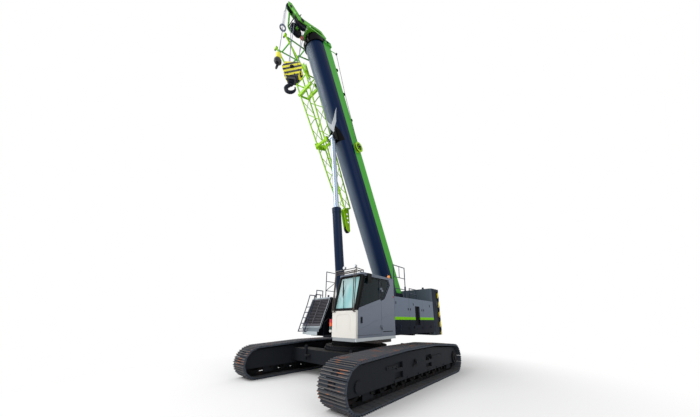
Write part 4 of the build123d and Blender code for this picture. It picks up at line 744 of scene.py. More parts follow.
# ------------------------------------------------------------------ the workbench
class Bench:
    """Models pieces with Blender's own operators, each finished with its place in its mesh."""

    TUBE_STEPS = 2
    BEND_STEPS = 4
    WELD = 0.0002
    SMOOTH_TUBE, SMOOTH_BAR, SMOOTH_LATHE = radians(50.0), radians(40.0), radians(35.0)

    @staticmethod
    def only(piece: Piece) -> None:
        """Select one piece alone and make it active."""
        bpy.ops.object.select_all(action="DESELECT")
        piece.select_set(True)
        bpy.context.view_layer.objects.active = piece

    @staticmethod
    def settle(piece: Piece, placing: Matrix | None = None) -> Piece:
        """Put a piece's place into its mesh, after an optional move.

        Args:
            piece: the piece.
            placing: where to move it first.

        Returns:
            The same piece, its object at the origin.
        """
        Bench.only(piece)
        if placing is not None:
            piece.matrix_world = placing @ piece.matrix_world
        bpy.ops.object.transform_apply(location=True, rotation=True, scale=True)
        return piece

    @staticmethod
    @contextmanager
    def editing() -> Iterator[None]:
        """Edit the active piece's whole mesh, and go back to the piece afterwards."""
        bpy.ops.object.mode_set(mode="EDIT")
        bpy.ops.mesh.select_all(action="SELECT")
        yield
        bpy.ops.object.mode_set(mode="OBJECT")

    @staticmethod
    def thicken(way: Point) -> None:
        """Extrude the selected face of a piece under edit, and turn its walls outwards.

        Args:
            way: how it is extruded, as long as the wall is thick.
        """
        bpy.ops.mesh.extrude_region_move(TRANSFORM_OT_translate={"value": way})
        bpy.ops.mesh.select_all(action="SELECT")
        bpy.ops.mesh.normals_make_consistent(inside=False)

    @staticmethod
    def coat(piece: Piece, finish: Finish) -> Piece:
        """Give the whole piece one finish."""
        piece.data.materials.clear()
        piece.data.materials.append(finish.get())
        return piece

    @staticmethod
    def block(low: Point, high: Point, finish: Finish, soft: float = 0.006, steps: int = 2) -> Piece:
        """A pressed or cast box between two corners, its edges rounded.

        Args:
            low: one corner.
            high: the opposite corner.
            finish: what it is painted with.
            soft: radius of the edges.
            steps: facets round each edge.

        Returns:
            The piece.
        """
        bpy.ops.object.select_all(action="DESELECT")
        size = tuple(abs(b - a) for a, b in zip(low, high))
        bpy.ops.mesh.primitive_cube_add(size=1.0, location=tuple((a + b) / 2 for a, b in zip(low, high)))
        piece = bpy.context.object
        piece.scale = size
        Bench.settle(piece)
        with Bench.editing():
            bpy.ops.mesh.bevel(offset=min(soft, min(size) * 0.45), segments=steps, affect="EDGES")
        return Bench.coat(piece, finish)

    @staticmethod
    def chain(points: list[Point], closed: bool = False) -> Piece:
        """A run of edges through some points, drawn by extruding one vertex.

        Args:
            points: the places in order.
            closed: whether the last point joins the first.

        Returns:
            An object with edges alone.
        """
        bpy.ops.object.select_all(action="DESELECT")
        bpy.ops.mesh.primitive_plane_add(size=0.01, location=points[0])
        piece = bpy.context.object
        Bench.settle(piece)
        bpy.ops.object.mode_set(mode="EDIT")
        bpy.ops.mesh.select_mode(type="VERT")
        bpy.ops.mesh.select_all(action="SELECT")
        bpy.ops.mesh.merge(type="CENTER")
        for a, b in zip(points, points[1:]):
            bpy.ops.mesh.extrude_region_move(TRANSFORM_OT_translate={"value": tuple(Vector(b) - Vector(a))})
        if closed:
            bpy.ops.object.mode_set(mode="OBJECT")
            for index, vertex in enumerate(piece.data.vertices):
                vertex.select = index in (0, len(points) - 1)
            for edge in piece.data.edges:
                edge.select = False
            bpy.ops.object.mode_set(mode="EDIT")
            bpy.ops.mesh.edge_face_add()
        bpy.ops.object.mode_set(mode="OBJECT")
        return piece

    @staticmethod
    def plate(points: list[Point], thick: Point, finish: Finish, soft: float = 0.0) -> Piece:
        """A flat plate: a closed outline filled and extruded.

        Args:
            points: its outline.
            thick: the way it is extruded, as long as the plate is thick.
            finish: what it is painted with.
            soft: radius of its edges.

        Returns:
            The piece.
        """
        piece = Bench.chain(points)
        with Bench.editing():
            bpy.ops.mesh.edge_face_add()
            Bench.thicken(thick)
            if soft:
                bpy.ops.mesh.bevel(offset=soft, segments=2, affect="EDGES")
        return Bench.coat(piece, finish)

    @staticmethod
    def surround(outer: list[Point], inner: list[Point], thick: Point, finish: Finish) -> Piece:
        """A frame between two outlines of as many points, bridged and extruded."""
        whole = Bench.join([Bench.chain(outer, True), Bench.chain(inner, True)])
        with Bench.editing():
            bpy.ops.mesh.bridge_edge_loops()
            bpy.ops.mesh.select_all(action="SELECT")
            Bench.thicken(thick)
        return Bench.coat(whole, finish)

    @staticmethod
    def tube(points: list[Point], radius: float, finish: Finish, bend: float = 0.0) -> Piece:
        """A bent tube, hose or rope along some points.

        Args:
            points: its path.
            radius: its radius.
            finish: what it is made of.
            bend: how far from each corner the bend begins.

        Returns:
            The piece.
        """
        piece = Bench.chain(points)
        if bend and len(points) > 2:
            with Bench.editing():
                bpy.ops.mesh.bevel(offset=bend, segments=Bench.BEND_STEPS, affect="VERTICES")
        bpy.ops.object.convert(target="CURVE")
        piece = bpy.context.object
        piece.data.bevel_depth = radius
        piece.data.bevel_resolution = Bench.TUBE_STEPS
        piece.data.use_fill_caps = True
        bpy.ops.object.convert(target="MESH")
        piece = bpy.context.object
        bpy.ops.object.shade_smooth_by_angle(angle=Bench.SMOOTH_TUBE)
        return Bench.coat(piece, finish)

    @staticmethod
    def bar(start: Point, end: Point, radius: float, finish: Finish, sides: int = 12) -> Piece:
        """A straight round or many-sided bar, pin or bolt between two points."""
        bpy.ops.object.select_all(action="DESELECT")
        run = Vector(end) - Vector(start)
        bpy.ops.mesh.primitive_cylinder_add(vertices=sides, radius=radius, depth=run.length)
        piece = bpy.context.object
        turn = run.to_track_quat("Z", "Y").to_matrix().to_4x4()
        Bench.settle(piece, Matrix.Translation((Vector(start) + Vector(end)) / 2) @ turn)
        bpy.ops.object.shade_smooth_by_angle(angle=Bench.SMOOTH_BAR)
        return Bench.coat(piece, finish)

    @staticmethod
    def lathe(profile: list[Point], centre: Point, axis: Point, finish: Finish, steps: int = 24) -> Piece:
        """A turned piece: a profile spun about an axis."""
        piece = Bench.chain(profile)
        with Bench.editing():
            bpy.ops.mesh.spin(steps=steps, angle=2 * pi, center=centre, axis=axis)
            bpy.ops.mesh.select_all(action="SELECT")
            bpy.ops.mesh.remove_doubles(threshold=Bench.WELD)
            bpy.ops.mesh.normals_make_consistent(inside=False)
        bpy.ops.object.shade_smooth_by_angle(angle=Bench.SMOOTH_LATHE)
        return Bench.coat(piece, finish)

    @staticmethod
    def again(piece: Piece, placing: Matrix) -> Piece:
        """A copy of a piece with its own mesh, at a further place."""
        copy = piece.copy()
        copy.data = piece.data.copy()
        bpy.context.collection.objects.link(copy)
        copy.data.transform(placing)
        return copy

    @staticmethod
    def join(parts: Iterable[Piece]) -> Piece:
        """Join some pieces into one, after they are all modelled."""
        parts = list(parts)
        bpy.ops.object.select_all(action="DESELECT")
        for part in parts:
            part.select_set(True)
        bpy.context.view_layer.objects.active = parts[0]
        if len(parts) > 1:
            bpy.ops.object.join()
        return bpy.context.object

    @staticmethod
    def hand_over(parts: Iterable[Piece], name: str, body: str, slot: str,
                  placing: Matrix | None = None) -> Piece:
        """Join parts into one named piece that rides on a body.

        Args:
            parts: what it is made of.
            name: the piece's name.
            body: the body that carries it.
            slot: the record's material slot for it; not used.
            placing: where to move it first.

        Returns:
            The finished piece.
        """
        piece = Bench.settle(Bench.join(parts), placing)
        piece.name = name
        piece.data.name = name
        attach(piece, body)
        LOG.info("%s: %d faces on %s", name, len(piece.data.polygons), body)
        return piece


BOOM_FOOT: Point = (0.0, 2.304, 2.478)
BOOM_ANGLE = 64.34
RAISED = Matrix.Translation(BOOM_FOOT) @ Matrix.Rotation(-radians(BOOM_ANGLE), 4, "X")
ALONG_X: Point = (1, 0, 0)
ALONG_Y: Point = (0, 1, 0)
ALONG_Z: Point = (0, 0, 1)
SIDES = (-1, 1)


def at_side(x: float, outline: Iterable[Spot]) -> list[Point]:
    """An outline seen from the side, as (y, z), placed at X."""
    return [(x, y, z) for y, z in outline]


def ring_about(centre: Spot, radius: float, count: int) -> list[Spot]:
    """Places evenly round a circle, from its first direction on."""
    turns = (2 * pi * k / count for k in range(count))
    return [(centre[0] + radius * cos(turn), centre[1] + radius * sin(turn)) for turn in turns]


# ------------------------------------------------------------------ undercarriage
@dataclass
class Crawler:
    """One track: its shoes and chain links, laid round the wheels, and the bolts of its final drive."""

    label: str
    side: int
    gauge: float = 4.30
    shoe_width: float = 0.80
    plate: float = 0.028
    rib: float = 0.034
    rib_places: tuple[float, ...] = (0.32, 0.0, -0.32)
    build_up: float = 0.16
    shoes: int = 62
    gap: float = 0.012
    inside: float = 0.0005
    idler: Point = (-2.62, 0.49, 0.33)
    sprocket: Point = (2.61, 0.47, 0.31)
    carriers: Span = (-0.76, 0.98)
    carrier_top: float = 0.905
    carrier_radius: float = 0.095
    rollers: int = 10
    roller_span: float = 4.15
    drive_face: float = 0.285
    drive_bolts: tuple[tuple[float, int, float], ...] = ((0.212, 20, 0.022), (0.15, 10, 0.06))
    frame_bolts: tuple[float, ...] = (-1.3, -0.7, -0.1, 0.5, 1.1, 1.7)
    frame_bolts_z: float = 0.36
    guard_low: float = 0.152
    end_guards: tuple[float, ...] = (-2.30, 2.16)
    webs: tuple[Spot, ...] = ((-1.45, -0.70), (0.28, 0.96))
    lugs: tuple[Point, ...] = ((-1.16, 0.62, 0.215), (0.62, 0.63, 0.215), (-0.27, 0.66, 0.285))

    def path(self, inset: float) -> list[Spot]:
        """The line round the wheels at a distance inside the ribs' tips.

        Args:
            inset: the distance.

        Returns:
            Places as (y, z).
        """
        grow = self.build_up - inset
        wheels = [(self.idler[0], self.idler[1], self.idler[2] + grow)]
        carrier_z = self.carrier_top - self.carrier_radius
        wheels += [(y, carrier_z, self.carrier_radius + grow) for y in self.carriers]
        wheels.append((self.sprocket[0], self.sprocket[1], self.sprocket[2] + grow))
        leave = []
        for (y0, z0, r0), (y1, z1, r1) in zip(wheels, wheels[1:]):
            reach = hypot(y1 - y0, z1 - z0)
            leave.append(atan2(z1 - z0, y1 - y0) + pi / 2 + (r1 - r0) / reach)
        arrive = [3 * pi / 2] + leave
        leave.append(-pi / 2)
        places = []
        for (y, z, r), begin, end in zip(wheels, arrive, leave):
            count = max(2, int(abs(begin - end) / radians(6.0)))
            turns = [begin + (end - begin) * k / count for k in range(count + 1)]
            places += [(y + r * cos(turn), z + r * sin(turn)) for turn in turns]
        return places

    def stations(self) -> list[Matrix]:
        """A frame at each shoe's middle: Y along the chain, Z outwards. It also sets the chain's pitch."""
        places = self.path(self.rib + self.plate + self.inside)
        closed = places + [places[0]]
        runs = [hypot(b[0] - a[0], b[1] - a[1]) for a, b in zip(closed, closed[1:])]
        total = sum(runs)
        corners, walked, edge = [], 0.0, 0
        for k in range(self.shoes):
            target = total * k / self.shoes
            while walked + runs[edge] < target:
                walked += runs[edge]
                edge += 1
            a, b = closed[edge], closed[edge + 1]
            t = (target - walked) / runs[edge]
            corners.append((a[0] + (b[0] - a[0]) * t, a[1] + (b[1] - a[1]) * t))
        frames = []
        for a, b in zip(corners, corners[1:] + corners[:1]):
            slope = atan2(b[1] - a[1], b[0] - a[0])
            middle = (self.side * self.gauge / 2, (a[0] + b[0]) / 2, (a[1] + b[1]) / 2)
            frames.append(Matrix.Translation(middle) @ Matrix.Rotation(slope, 4, "X"))
        self.pitch = total / self.shoes
        return frames

    def shoe(self) -> Parts:
        """One three-rib shoe lying flat, its underside at the chain and its ribs' tips worn to rust."""
        half, wide = self.pitch / 2 - self.gap / 2, self.shoe_width / 2
        plate, tip = self.plate, self.plate + self.rib
        outline = [(-half, -0.012), (-half + 0.014, 0.0), (half, 0.0), (half, plate)]
        for middle in self.rib_places:
            y = middle * self.pitch
            outline += [(y + 0.018, plate), (y + 0.008, tip), (y - 0.008, tip), (y - 0.018, plate)]
        outline += [(-half, plate - 0.004)]
        yield Bench.plate(at_side(-wide, outline), (2 * wide, 0.0, 0.0), Finish.SHOE)
        for middle in self.rib_places:
            y = middle * self.pitch
            yield Bench.block((-wide + 0.002, y - 0.0085, tip - 0.006),
                              (wide - 0.002, y + 0.0085, tip + 0.0005), Finish.SHOE_RUST, 0.002, 1)
        for y in (-0.16 * self.pitch, 0.16 * self.pitch):
            yield Bench.block((-0.11, y - 0.017, plate - 0.004), (0.11, y + 0.017, plate + 0.004),
                              Finish.BLACK_STEEL, 0.003, 1)
            for x in (-0.075, 0.075):
                yield Bench.bar((x, y, plate), (x, y, plate + 0.018), 0.017, Finish.BLACK_STEEL, 6)

    def link(self) -> Parts:
        """One pair of chain links with its pin."""
        half, low, thick, pin_z = self.pitch / 2, -0.088, 0.028, -0.045
        outline = [(-half - 0.03, low + 0.02), (-half, low), (half - 0.02, low),
                   (half + 0.02, low + 0.03), (half + 0.02, -0.02), (half - 0.01, 0.0),
                   (-half + 0.01, 0.0), (-half - 0.03, -0.03)]
        for x in (-0.085, 0.085):
            yield Bench.plate(at_side(x - thick / 2, outline), (thick, 0.0, 0.0), Finish.WHEEL_STEEL)
        yield Bench.bar((-0.11, half, pin_z), (0.11, half, pin_z), 0.022, Finish.WHEEL_STEEL, 8)

    def bolts(self) -> Parts:
        """Bolt circles on the final drive's cover and a row of bolts on the frame."""
        face = self.side * (self.gauge / 2 + self.drive_face)
        for radius, count, height in self.drive_bolts:
            for y, z in ring_about(self.sprocket[:2], radius, count):
                yield Bench.bar((face, y, z), (face + self.side * height, y, z), 0.012,
                                Finish.BLACK_STEEL, 6)
        z = self.frame_bolts_z
        for y in self.frame_bolts:
            yield Bench.bar((face, y, z), (face + self.side * 0.02, y, z), 0.02, Finish.BLACK_STEEL, 6)

    def guards(self) -> Parts:
        """Guard plates between the track rollers and at the ends, webs in the frame and its lugs."""
        middle, pitch = self.side * self.gauge / 2, self.roller_span / (self.rollers - 1)
        paint = Finish.UNDERCARRIAGE
        for k in range(self.rollers - 1):
            y = -self.roller_span / 2 + (k + 0.5) * pitch
            yield Bench.block((middle - 0.05, y - 0.105, self.guard_low), (middle + 0.05, y + 0.105, 0.40),
                              paint, 0.012)
        for y in self.end_guards:
            for x in (middle - 0.19, middle + 0.17):
                yield Bench.block((x, y - 0.06, self.guard_low), (x + 0.02, y + 0.30, 0.44), paint, 0.006)
        for x in (middle - 0.20, middle + 0.20):
            for low, high in self.webs:
                yield Bench.block((x - 0.01, low, 0.32), (x + 0.01, high, 0.80), paint, 0.006)
        for y, z, out in self.lugs:
            lug = [(y - 0.07, z - 0.05), (y - 0.03, z + 0.07), (y + 0.05, z + 0.06), (y + 0.08, z - 0.02),
                   (y + 0.03, z - 0.08)]
            face = middle + self.side * out
            yield Bench.plate(at_side(face, lug), (self.side * 0.05, 0.0, 0.0), Finish.WHEEL_STEEL, 0.006)
            yield Bench.bar((face, y, z), (face + self.side * 0.08, y, z), 0.03, Finish.BLACK_STEEL, 12)

    def build(self) -> None:
        """Lay the shoes and links round the wheels, bolt on the final drive's cover and set the guards."""
        frames = self.stations()
        first = Bench.join([Bench.join(self.shoe()), Bench.join(self.link())])
        track = [Bench.again(first, frame) for frame in frames]
        bpy.data.objects.remove(first)
        piece = Bench.hand_over(track, f"track_{self.label}", "carbody", "track_shoes")
        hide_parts(f"track_loop_{self.label}")
        Bench.hand_over(self.bolts(), f"drive_bolts_{self.label}", "carbody", "undercarriage")
        Bench.hand_over(self.guards(), f"roller_guards_{self.label}", "carbody", "undercarriage")


# ------------------------------------------------------------------ cab
@dataclass
class Cab:
    """What makes the cab: window surrounds, panel work, handles, wiper, lamps and the driver's place."""

    side_x: float = 1.51
    inner_x: float = 0.56
    front_y: float = -1.675
    back_y: float = 0.25
    waist: float = 2.04
    roof: float = 3.15
    brow: float = -1.39
    trim: float = 0.006
    door_window: Outline = ((-1.545, 2.10), (-1.27, 2.99), (-0.545, 3.01), (-0.545, 2.40))
    door_outer: Outline = ((-1.622, 2.035), (-1.318, 3.05), (-0.512, 3.06), (-0.512, 2.355))
    door_creases: tuple[tuple[Outline, float], ...] = (
        (((-1.60, 1.985), (-1.30, 2.05), (-0.52, 2.30)), 0.08),
        (((-1.60, 1.55), (-1.20, 1.60), (-0.90, 1.74), (-0.52, 1.80)), 0.12))
    rear_window: Outline = ((-0.463, 2.40), (-0.455, 3.04), (-0.09, 3.05), (-0.02, 2.90), (-0.33, 2.47))
    rear_outer: Outline = ((-0.488, 2.362), (-0.488, 3.065), (-0.068, 3.075), (0.016, 2.905),
                           (-0.318, 2.425))
    rear_crease: Outline = ((-0.48, 1.80), (-0.15, 1.93), (0.22, 1.95))
    far_window: Outline = ((-1.56, 2.12), (-1.30, 3.00), (-0.02, 3.00), (-0.02, 2.12))
    far_outer: Outline = ((-1.60, 2.08), (-1.325, 3.04), (0.02, 3.04), (0.02, 2.08))
    back_window: Outline = ((0.68, 2.20), (0.68, 2.95), (1.39, 2.95), (1.39, 2.20))
    back_outer: Outline = ((0.64, 2.16), (0.64, 2.99), (1.43, 2.99), (1.43, 2.16))
    arch: Outline = ((0.74, 1.47), (0.74, 1.86), (0.80, 1.93), (1.22, 1.93), (1.29, 1.86), (1.29, 1.47))
    sill_line: Outline = ((0.62, 1.97), (1.46, 1.97))
    guard_bars: int = 7
    guard_pitch: float = 0.125
    wiper_x: float = 1.02
    lamp: Spot = (-1.678, 3.295)
    beacon: Spot = (1.38, 0.15)
    floor: float = 1.346

    def rake(self, height: float) -> float:
        """The raked front's Y at a height."""
        rise = (height - self.waist) / (self.roof - self.waist)
        return self.front_y + (self.brow - self.front_y) * rise

    def door(self) -> Parts:
        """Black window surround, oval handle, creased panel and mirror glass on the door."""
        x = self.side_x
        yield Bench.surround(at_side(x, self.door_outer), at_side(x, self.door_window),
                             (self.trim, 0.0, 0.0), Finish.TRIM)
        yield Bench.block((x, -1.49, 1.69), (x + 0.032, -1.42, 1.86), Finish.TRIM, 0.03, 4)
        for crease, bend in self.door_creases:
            yield Bench.tube(at_side(x, crease), 0.005, Finish.CAB, bend)
        yield Bench.block((x + 0.052, -1.222, 2.862), (x + 0.048, -1.058, 3.118), Finish.BLACK_STEEL,
                          0.004, 1)

    def sides(self) -> Parts:
        """Black surrounds of the other windows, the creased rear panel, the slot under it and a lamp."""
        x = self.side_x
        yield Bench.surround(at_side(x, self.rear_outer), at_side(x, self.rear_window),
                             (self.trim, 0.0, 0.0), Finish.TRIM)
        yield Bench.block((x, -0.43, 1.425), (x + self.trim, 0.10, 1.445), Finish.TRIM, 0.003, 1)
        yield Bench.tube(at_side(x, self.rear_crease), 0.005, Finish.CAB, 0.12)
        yield Bench.block((x, 0.19, 2.50), (x + 0.012, 0.225, 2.56), Finish.RED_LENS, 0.005)
        yield Bench.surround(at_side(self.inner_x, self.far_outer), at_side(self.inner_x, self.far_window),
                             (-self.trim, 0.0, 0.0), Finish.TRIM)
        yield Bench.surround([(a, self.back_y, b) for a, b in self.back_outer],
                             [(a, self.back_y, b) for a, b in self.back_window],
                             (0.0, self.trim, 0.0), Finish.TRIM)

    def front(self) -> Parts:
        """Screen surround, embossed arch, black sill strip, the screen's guard tubes and the wiper."""
        low, high = self.waist + 0.06, self.roof - 0.13
        x0, x1 = self.inner_x + 0.10, self.side_x - 0.075
        inner = [(x0, low), (x0, high), (x1, high), (x1, low)]
        outer = [(x0 - 0.045, low - 0.035), (x0 - 0.045, high + 0.07), (x1 + 0.045, high + 0.07),
                 (x1 + 0.045, low - 0.035)]
        yield Bench.surround([(x, self.rake(z), z) for x, z in outer],
                             [(x, self.rake(z), z) for x, z in inner], (0.0, -self.trim, 0.002),
                             Finish.TRIM)
        for line, radius, bend in ((self.arch, 0.012, 0.05), (self.sill_line, 0.008, 0.0)):
            yield Bench.tube([(x, self.front_y + 0.002, z) for x, z in line], radius, Finish.CAB, bend)
        yield Bench.block((self.inner_x + 0.05, self.front_y - 0.008, self.waist - 0.012),
                          (self.side_x - 0.03, self.front_y + 0.01, self.waist + 0.012), Finish.TRIM, 0.004)
        yield from self.screen_guard()
        yield from self.wiper(low + 0.04, low + 0.62)

    def screen_guard(self) -> Parts:
        """Two bent side tubes, three cross tubes over the brow and the short bars between them."""
        for x in (self.inner_x + 0.115, self.side_x - 0.075):
            bent = ((self.brow + 0.06, self.roof), (self.brow - 0.13, self.roof + 0.045),
                    (self.front_y + 0.005, self.roof + 0.03), (self.front_y - 0.062, self.waist - 0.02),
                    (self.front_y, self.waist - 0.04))
            yield Bench.tube(at_side(x, bent), 0.014, Finish.FITTINGS, 0.05)
        for y, z in ((self.front_y + 0.03, self.roof + 0.02), (self.front_y + 0.012, self.roof - 0.045),
                     (self.brow + 0.02, self.roof + 0.05)):
            yield Bench.tube([(self.inner_x + 0.06, y, z), (self.side_x - 0.02, y, z)], 0.013,
                             Finish.FITTINGS)
        for k in range(self.guard_bars):
            x = self.inner_x + 0.12 + self.guard_pitch * k
            yield Bench.tube([(x, self.brow + 0.02, self.roof + 0.05),
                              (x + 0.04, self.front_y + 0.03, self.roof + 0.02)], 0.008, Finish.FITTINGS)

    def wiper(self, low: float, high: float) -> Parts:
        """The wiper's arm and blade, between two heights on the screen."""
        x, foot, end = self.wiper_x, self.rake(low), self.rake(high)
        yield Bench.tube([(x + 0.02, foot - 0.03, low - 0.09), (x, foot - 0.02, low),
                          (x - 0.16, end - 0.02, high)], 0.007, Finish.TRIM, 0.02)
        yield Bench.block((x - 0.17, end - 0.018, high - 0.32), (x - 0.155, end - 0.055, high + 0.22),
                          Finish.TRIM, 0.003, 1)

    def roof_work(self) -> Parts:
        """Roof hatch, rain strip, lamp lenses and the beacon's dome."""
        yield Bench.block((0.72, -1.05, self.roof), (1.35, -0.25, self.roof + 0.035), Finish.TRIM, 0.02, 3)
        yield Bench.block((self.side_x - 0.02, self.brow, self.roof - 0.03),
                          (self.side_x + 0.012, self.back_y, self.roof - 0.005), Finish.CAB, 0.006, 2)
        y, z = self.lamp
        for x in (self.side_x - 0.51, self.side_x - 0.07):
            yield Bench.bar((x, y, z), (x, y + 0.006, z), 0.043, Finish.LAMP, 20)
            yield Bench.lathe([(x, y + 0.004, z + r) for r in (0.0, 0.02, 0.038, 0.044)],
                              (x, -1.64, z), ALONG_Y, Finish.LAMP, 20)
        x, y = self.beacon
        dome = ((0.047, 3.15), (0.047, 3.25), (0.036, 3.275), (0.0, 3.283))
        yield Bench.lathe([(x + r, y, z) for r, z in dome], (x, y, self.roof), ALONG_Z, Finish.AMBER, 20)

    EDGE_HEIGHT, CROWN, CROWN_POWER = 0.56, 0.44, 0.35
    SIDE, BULGE, PULL = 0.965, 0.035, 0.03
    SEAM_AT = 0.462

    @staticmethod
    def crown(place: Vector, flat: int, wide: int, long: int) -> Vector:
        """Where a place on a unit cube goes when the cube is filled like a sewn pad.

        Args:
            place: the place on the cube.
            flat: the axis of the pad's thickness.
            wide: the axis of its width.
            long: the axis of its length.

        Returns:
            The place on the pad: crowned in the middle, its sides pulled in between the corners.
        """
        bow = [1.0 - (2 * place[axis]) ** 2 for axis in range(3)]
        height = Cab.EDGE_HEIGHT
        if bow[wide] > 0 and bow[long] > 0:
            height += Cab.CROWN * bow[wide] ** Cab.CROWN_POWER * bow[long] ** Cab.CROWN_POWER
        place[flat] *= height
        place[wide] *= Cab.SIDE + Cab.BULGE * bow[flat] - Cab.PULL * bow[long]
        place[long] *= Cab.SIDE + Cab.BULGE * bow[flat] - Cab.PULL * bow[wide]
        return place

    @staticmethod
    def cushion(low: Point, high: Point, name: str, tilt: float = 0.0) -> Piece:
        """A sewn cushion: a crowned closed form whose sides pull in between its corners, with a seam.

        Args:
            low: one corner of its box.
            high: the opposite corner.
            name: the cushion's name.
            tilt: how far it leans back, in degrees.

        Returns:
            The padded piece.
        """
        size = [b - a for a, b in zip(low, high)]
        middle = Vector([(a + b) / 2 for a, b in zip(low, high)])
        flat = min(range(3), key=lambda axis: size[axis])
        wide, long = (axis for axis in range(3) if axis != flat)
        bpy.ops.object.select_all(action="DESELECT")
        bpy.ops.mesh.primitive_cube_add(size=1.0)
        pad = bpy.context.object
        with Bench.editing():
            bpy.ops.mesh.subdivide(number_cuts=7)
        for vertex in pad.data.vertices:
            vertex.co = Cab.crown(vertex.co.copy(), flat, wide, long)
        pad.scale = size
        Bench.settle(pad)
        smooth = pad.modifiers.new("rounded", "SUBSURF")
        smooth.levels = smooth.render_levels = 1
        bpy.ops.object.modifier_apply(modifier=smooth.name)
        bpy.ops.object.shade_smooth()
        Bench.coat(pad, Finish.SEAT)
        across, down = size[wide] * Cab.SEAM_AT, size[long] * Cab.SEAM_AT
        path = []
        for a, b in ((across, down), (across, -down), (-across, -down), (-across, down), (across, down)):
            place = [0.0, 0.0, 0.0]
            place[wide], place[long] = a, b
            path.append(tuple(place))
        seam = Bench.tube(path, 0.006, Finish.SEAT, 0.03)
        turn = Matrix.Translation(middle) @ Matrix.Rotation(radians(tilt), 4, "X")
        piece = Bench.hand_over([pad, seam], name, "upper", "seat", turn)
        return piece

    def seat_frame(self, middle: float) -> Parts:
        """Sprung seat frame and shell, arm consoles with levers, a display on its post and the pedals."""
        floor, trim = self.floor, Finish.TRIM
        yield Bench.block((middle - 0.16, -0.82, floor), (middle + 0.16, -0.42, floor + 0.12), trim, 0.02,
                          3)
        for k in range(4):
            narrow, rise = 0.15 - 0.006 * k, 0.055 * k
            yield Bench.block((middle - narrow, -0.81, floor + 0.12 + rise),
                              (middle + narrow, -0.43, floor + 0.17 + rise), trim, 0.02, 2)
        yield Bench.block((middle - 0.24, -0.89, floor + 0.34), (middle + 0.24, -0.35, floor + 0.395),
                          trim, 0.025, 3)
        shell = ((-0.35, 0.39), (-0.285, 0.40), (-0.205, 1.12), (-0.235, 1.12), (-0.31, 0.50),
                 (-0.35, 0.46))
        yield Bench.plate([(middle - 0.21, y, floor + z) for y, z in shell], (0.42, 0.0, 0.0), trim, 0.008)
        knob = ((0.0, 0.725), (0.022, 0.735), (0.026, 0.765), (0.018, 0.79), (0.0, 0.797))
        for side in SIDES:
            x = middle + side * 0.30
            yield Bench.block((x - 0.05, -0.98, floor), (x + 0.05, -0.42, floor + 0.52), trim, 0.02, 3)
            yield Bench.block((x - 0.05, -0.98, floor + 0.525), (x + 0.05, -0.42, floor + 0.60),
                              Finish.BLACK_STEEL, 0.025, 3)
            yield Bench.tube([(x, -0.90, floor + 0.59), (x, -0.905, floor + 0.68),
                              (x, -0.92, floor + 0.74)], 0.012, trim, 0.02)
            yield Bench.lathe([(x + r, -0.92, floor + z) for r, z in knob], (x, -0.92, floor), ALONG_Z,
                              trim, 16)
        yield Bench.block((middle + 0.22, -1.38, floor + 0.80), (middle + 0.27, -1.12, floor + 1.02),
                          trim, 0.012)
        post = middle + 0.245
        yield Bench.bar((post, -1.25, floor + 0.55), (post, -1.25, floor + 0.80), 0.012, trim, 10)
        yield Bench.tube([(post, -1.25, floor + 0.56), (post, -1.30, floor + 0.20), (post, -1.45, floor)],
                         0.014, trim, 0.05)
        for pedal in (middle - 0.10, middle + 0.10):
            left, right = pedal - 0.05, pedal + 0.05
            yield Bench.plate([(left, -1.52, floor + 0.02), (right, -1.52, floor + 0.02),
                               (right, -1.36, floor + 0.14), (left, -1.36, floor + 0.14)],
                              (0.0, 0.008, 0.012), Finish.BLACK_STEEL, 0.003)

    def driver(self) -> None:
        """The driver's place: the seat's frame in place of the plain seat, and its three cushions."""
        middle, floor = self.inner_x + 0.475, self.floor
        seat = Bench.hand_over(self.seat_frame(middle), "seat_frame", "upper", "seat")
        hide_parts("cab_seat")
        self.cushion((middle - 0.25, -0.90, floor + 0.39), (middle + 0.25, -0.34, floor + 0.515),
                     "seat_cushion")
        self.cushion((middle - 0.23, -0.385, floor + 0.50), (middle + 0.23, -0.275, floor + 1.02),
                     "seat_back", -8.0)
        self.cushion((middle - 0.14, -0.30, floor + 1.0), (middle + 0.14, -0.215, floor + 1.14),
                     "seat_headrest", -8.0)

    def build(self) -> None:
        """Build the whole cab trim."""
        Bench.hand_over(self.door(), "door_trim", "cab_door", "trim_black")
        Bench.hand_over(self.sides(), "cab_side_trim", "upper", "trim_black")
        Bench.hand_over(self.front(), "cab_front_trim", "upper", "trim_black")
        Bench.hand_over(self.roof_work(), "cab_roof_trim", "upper", "lamp_lenses")
        self.driver()


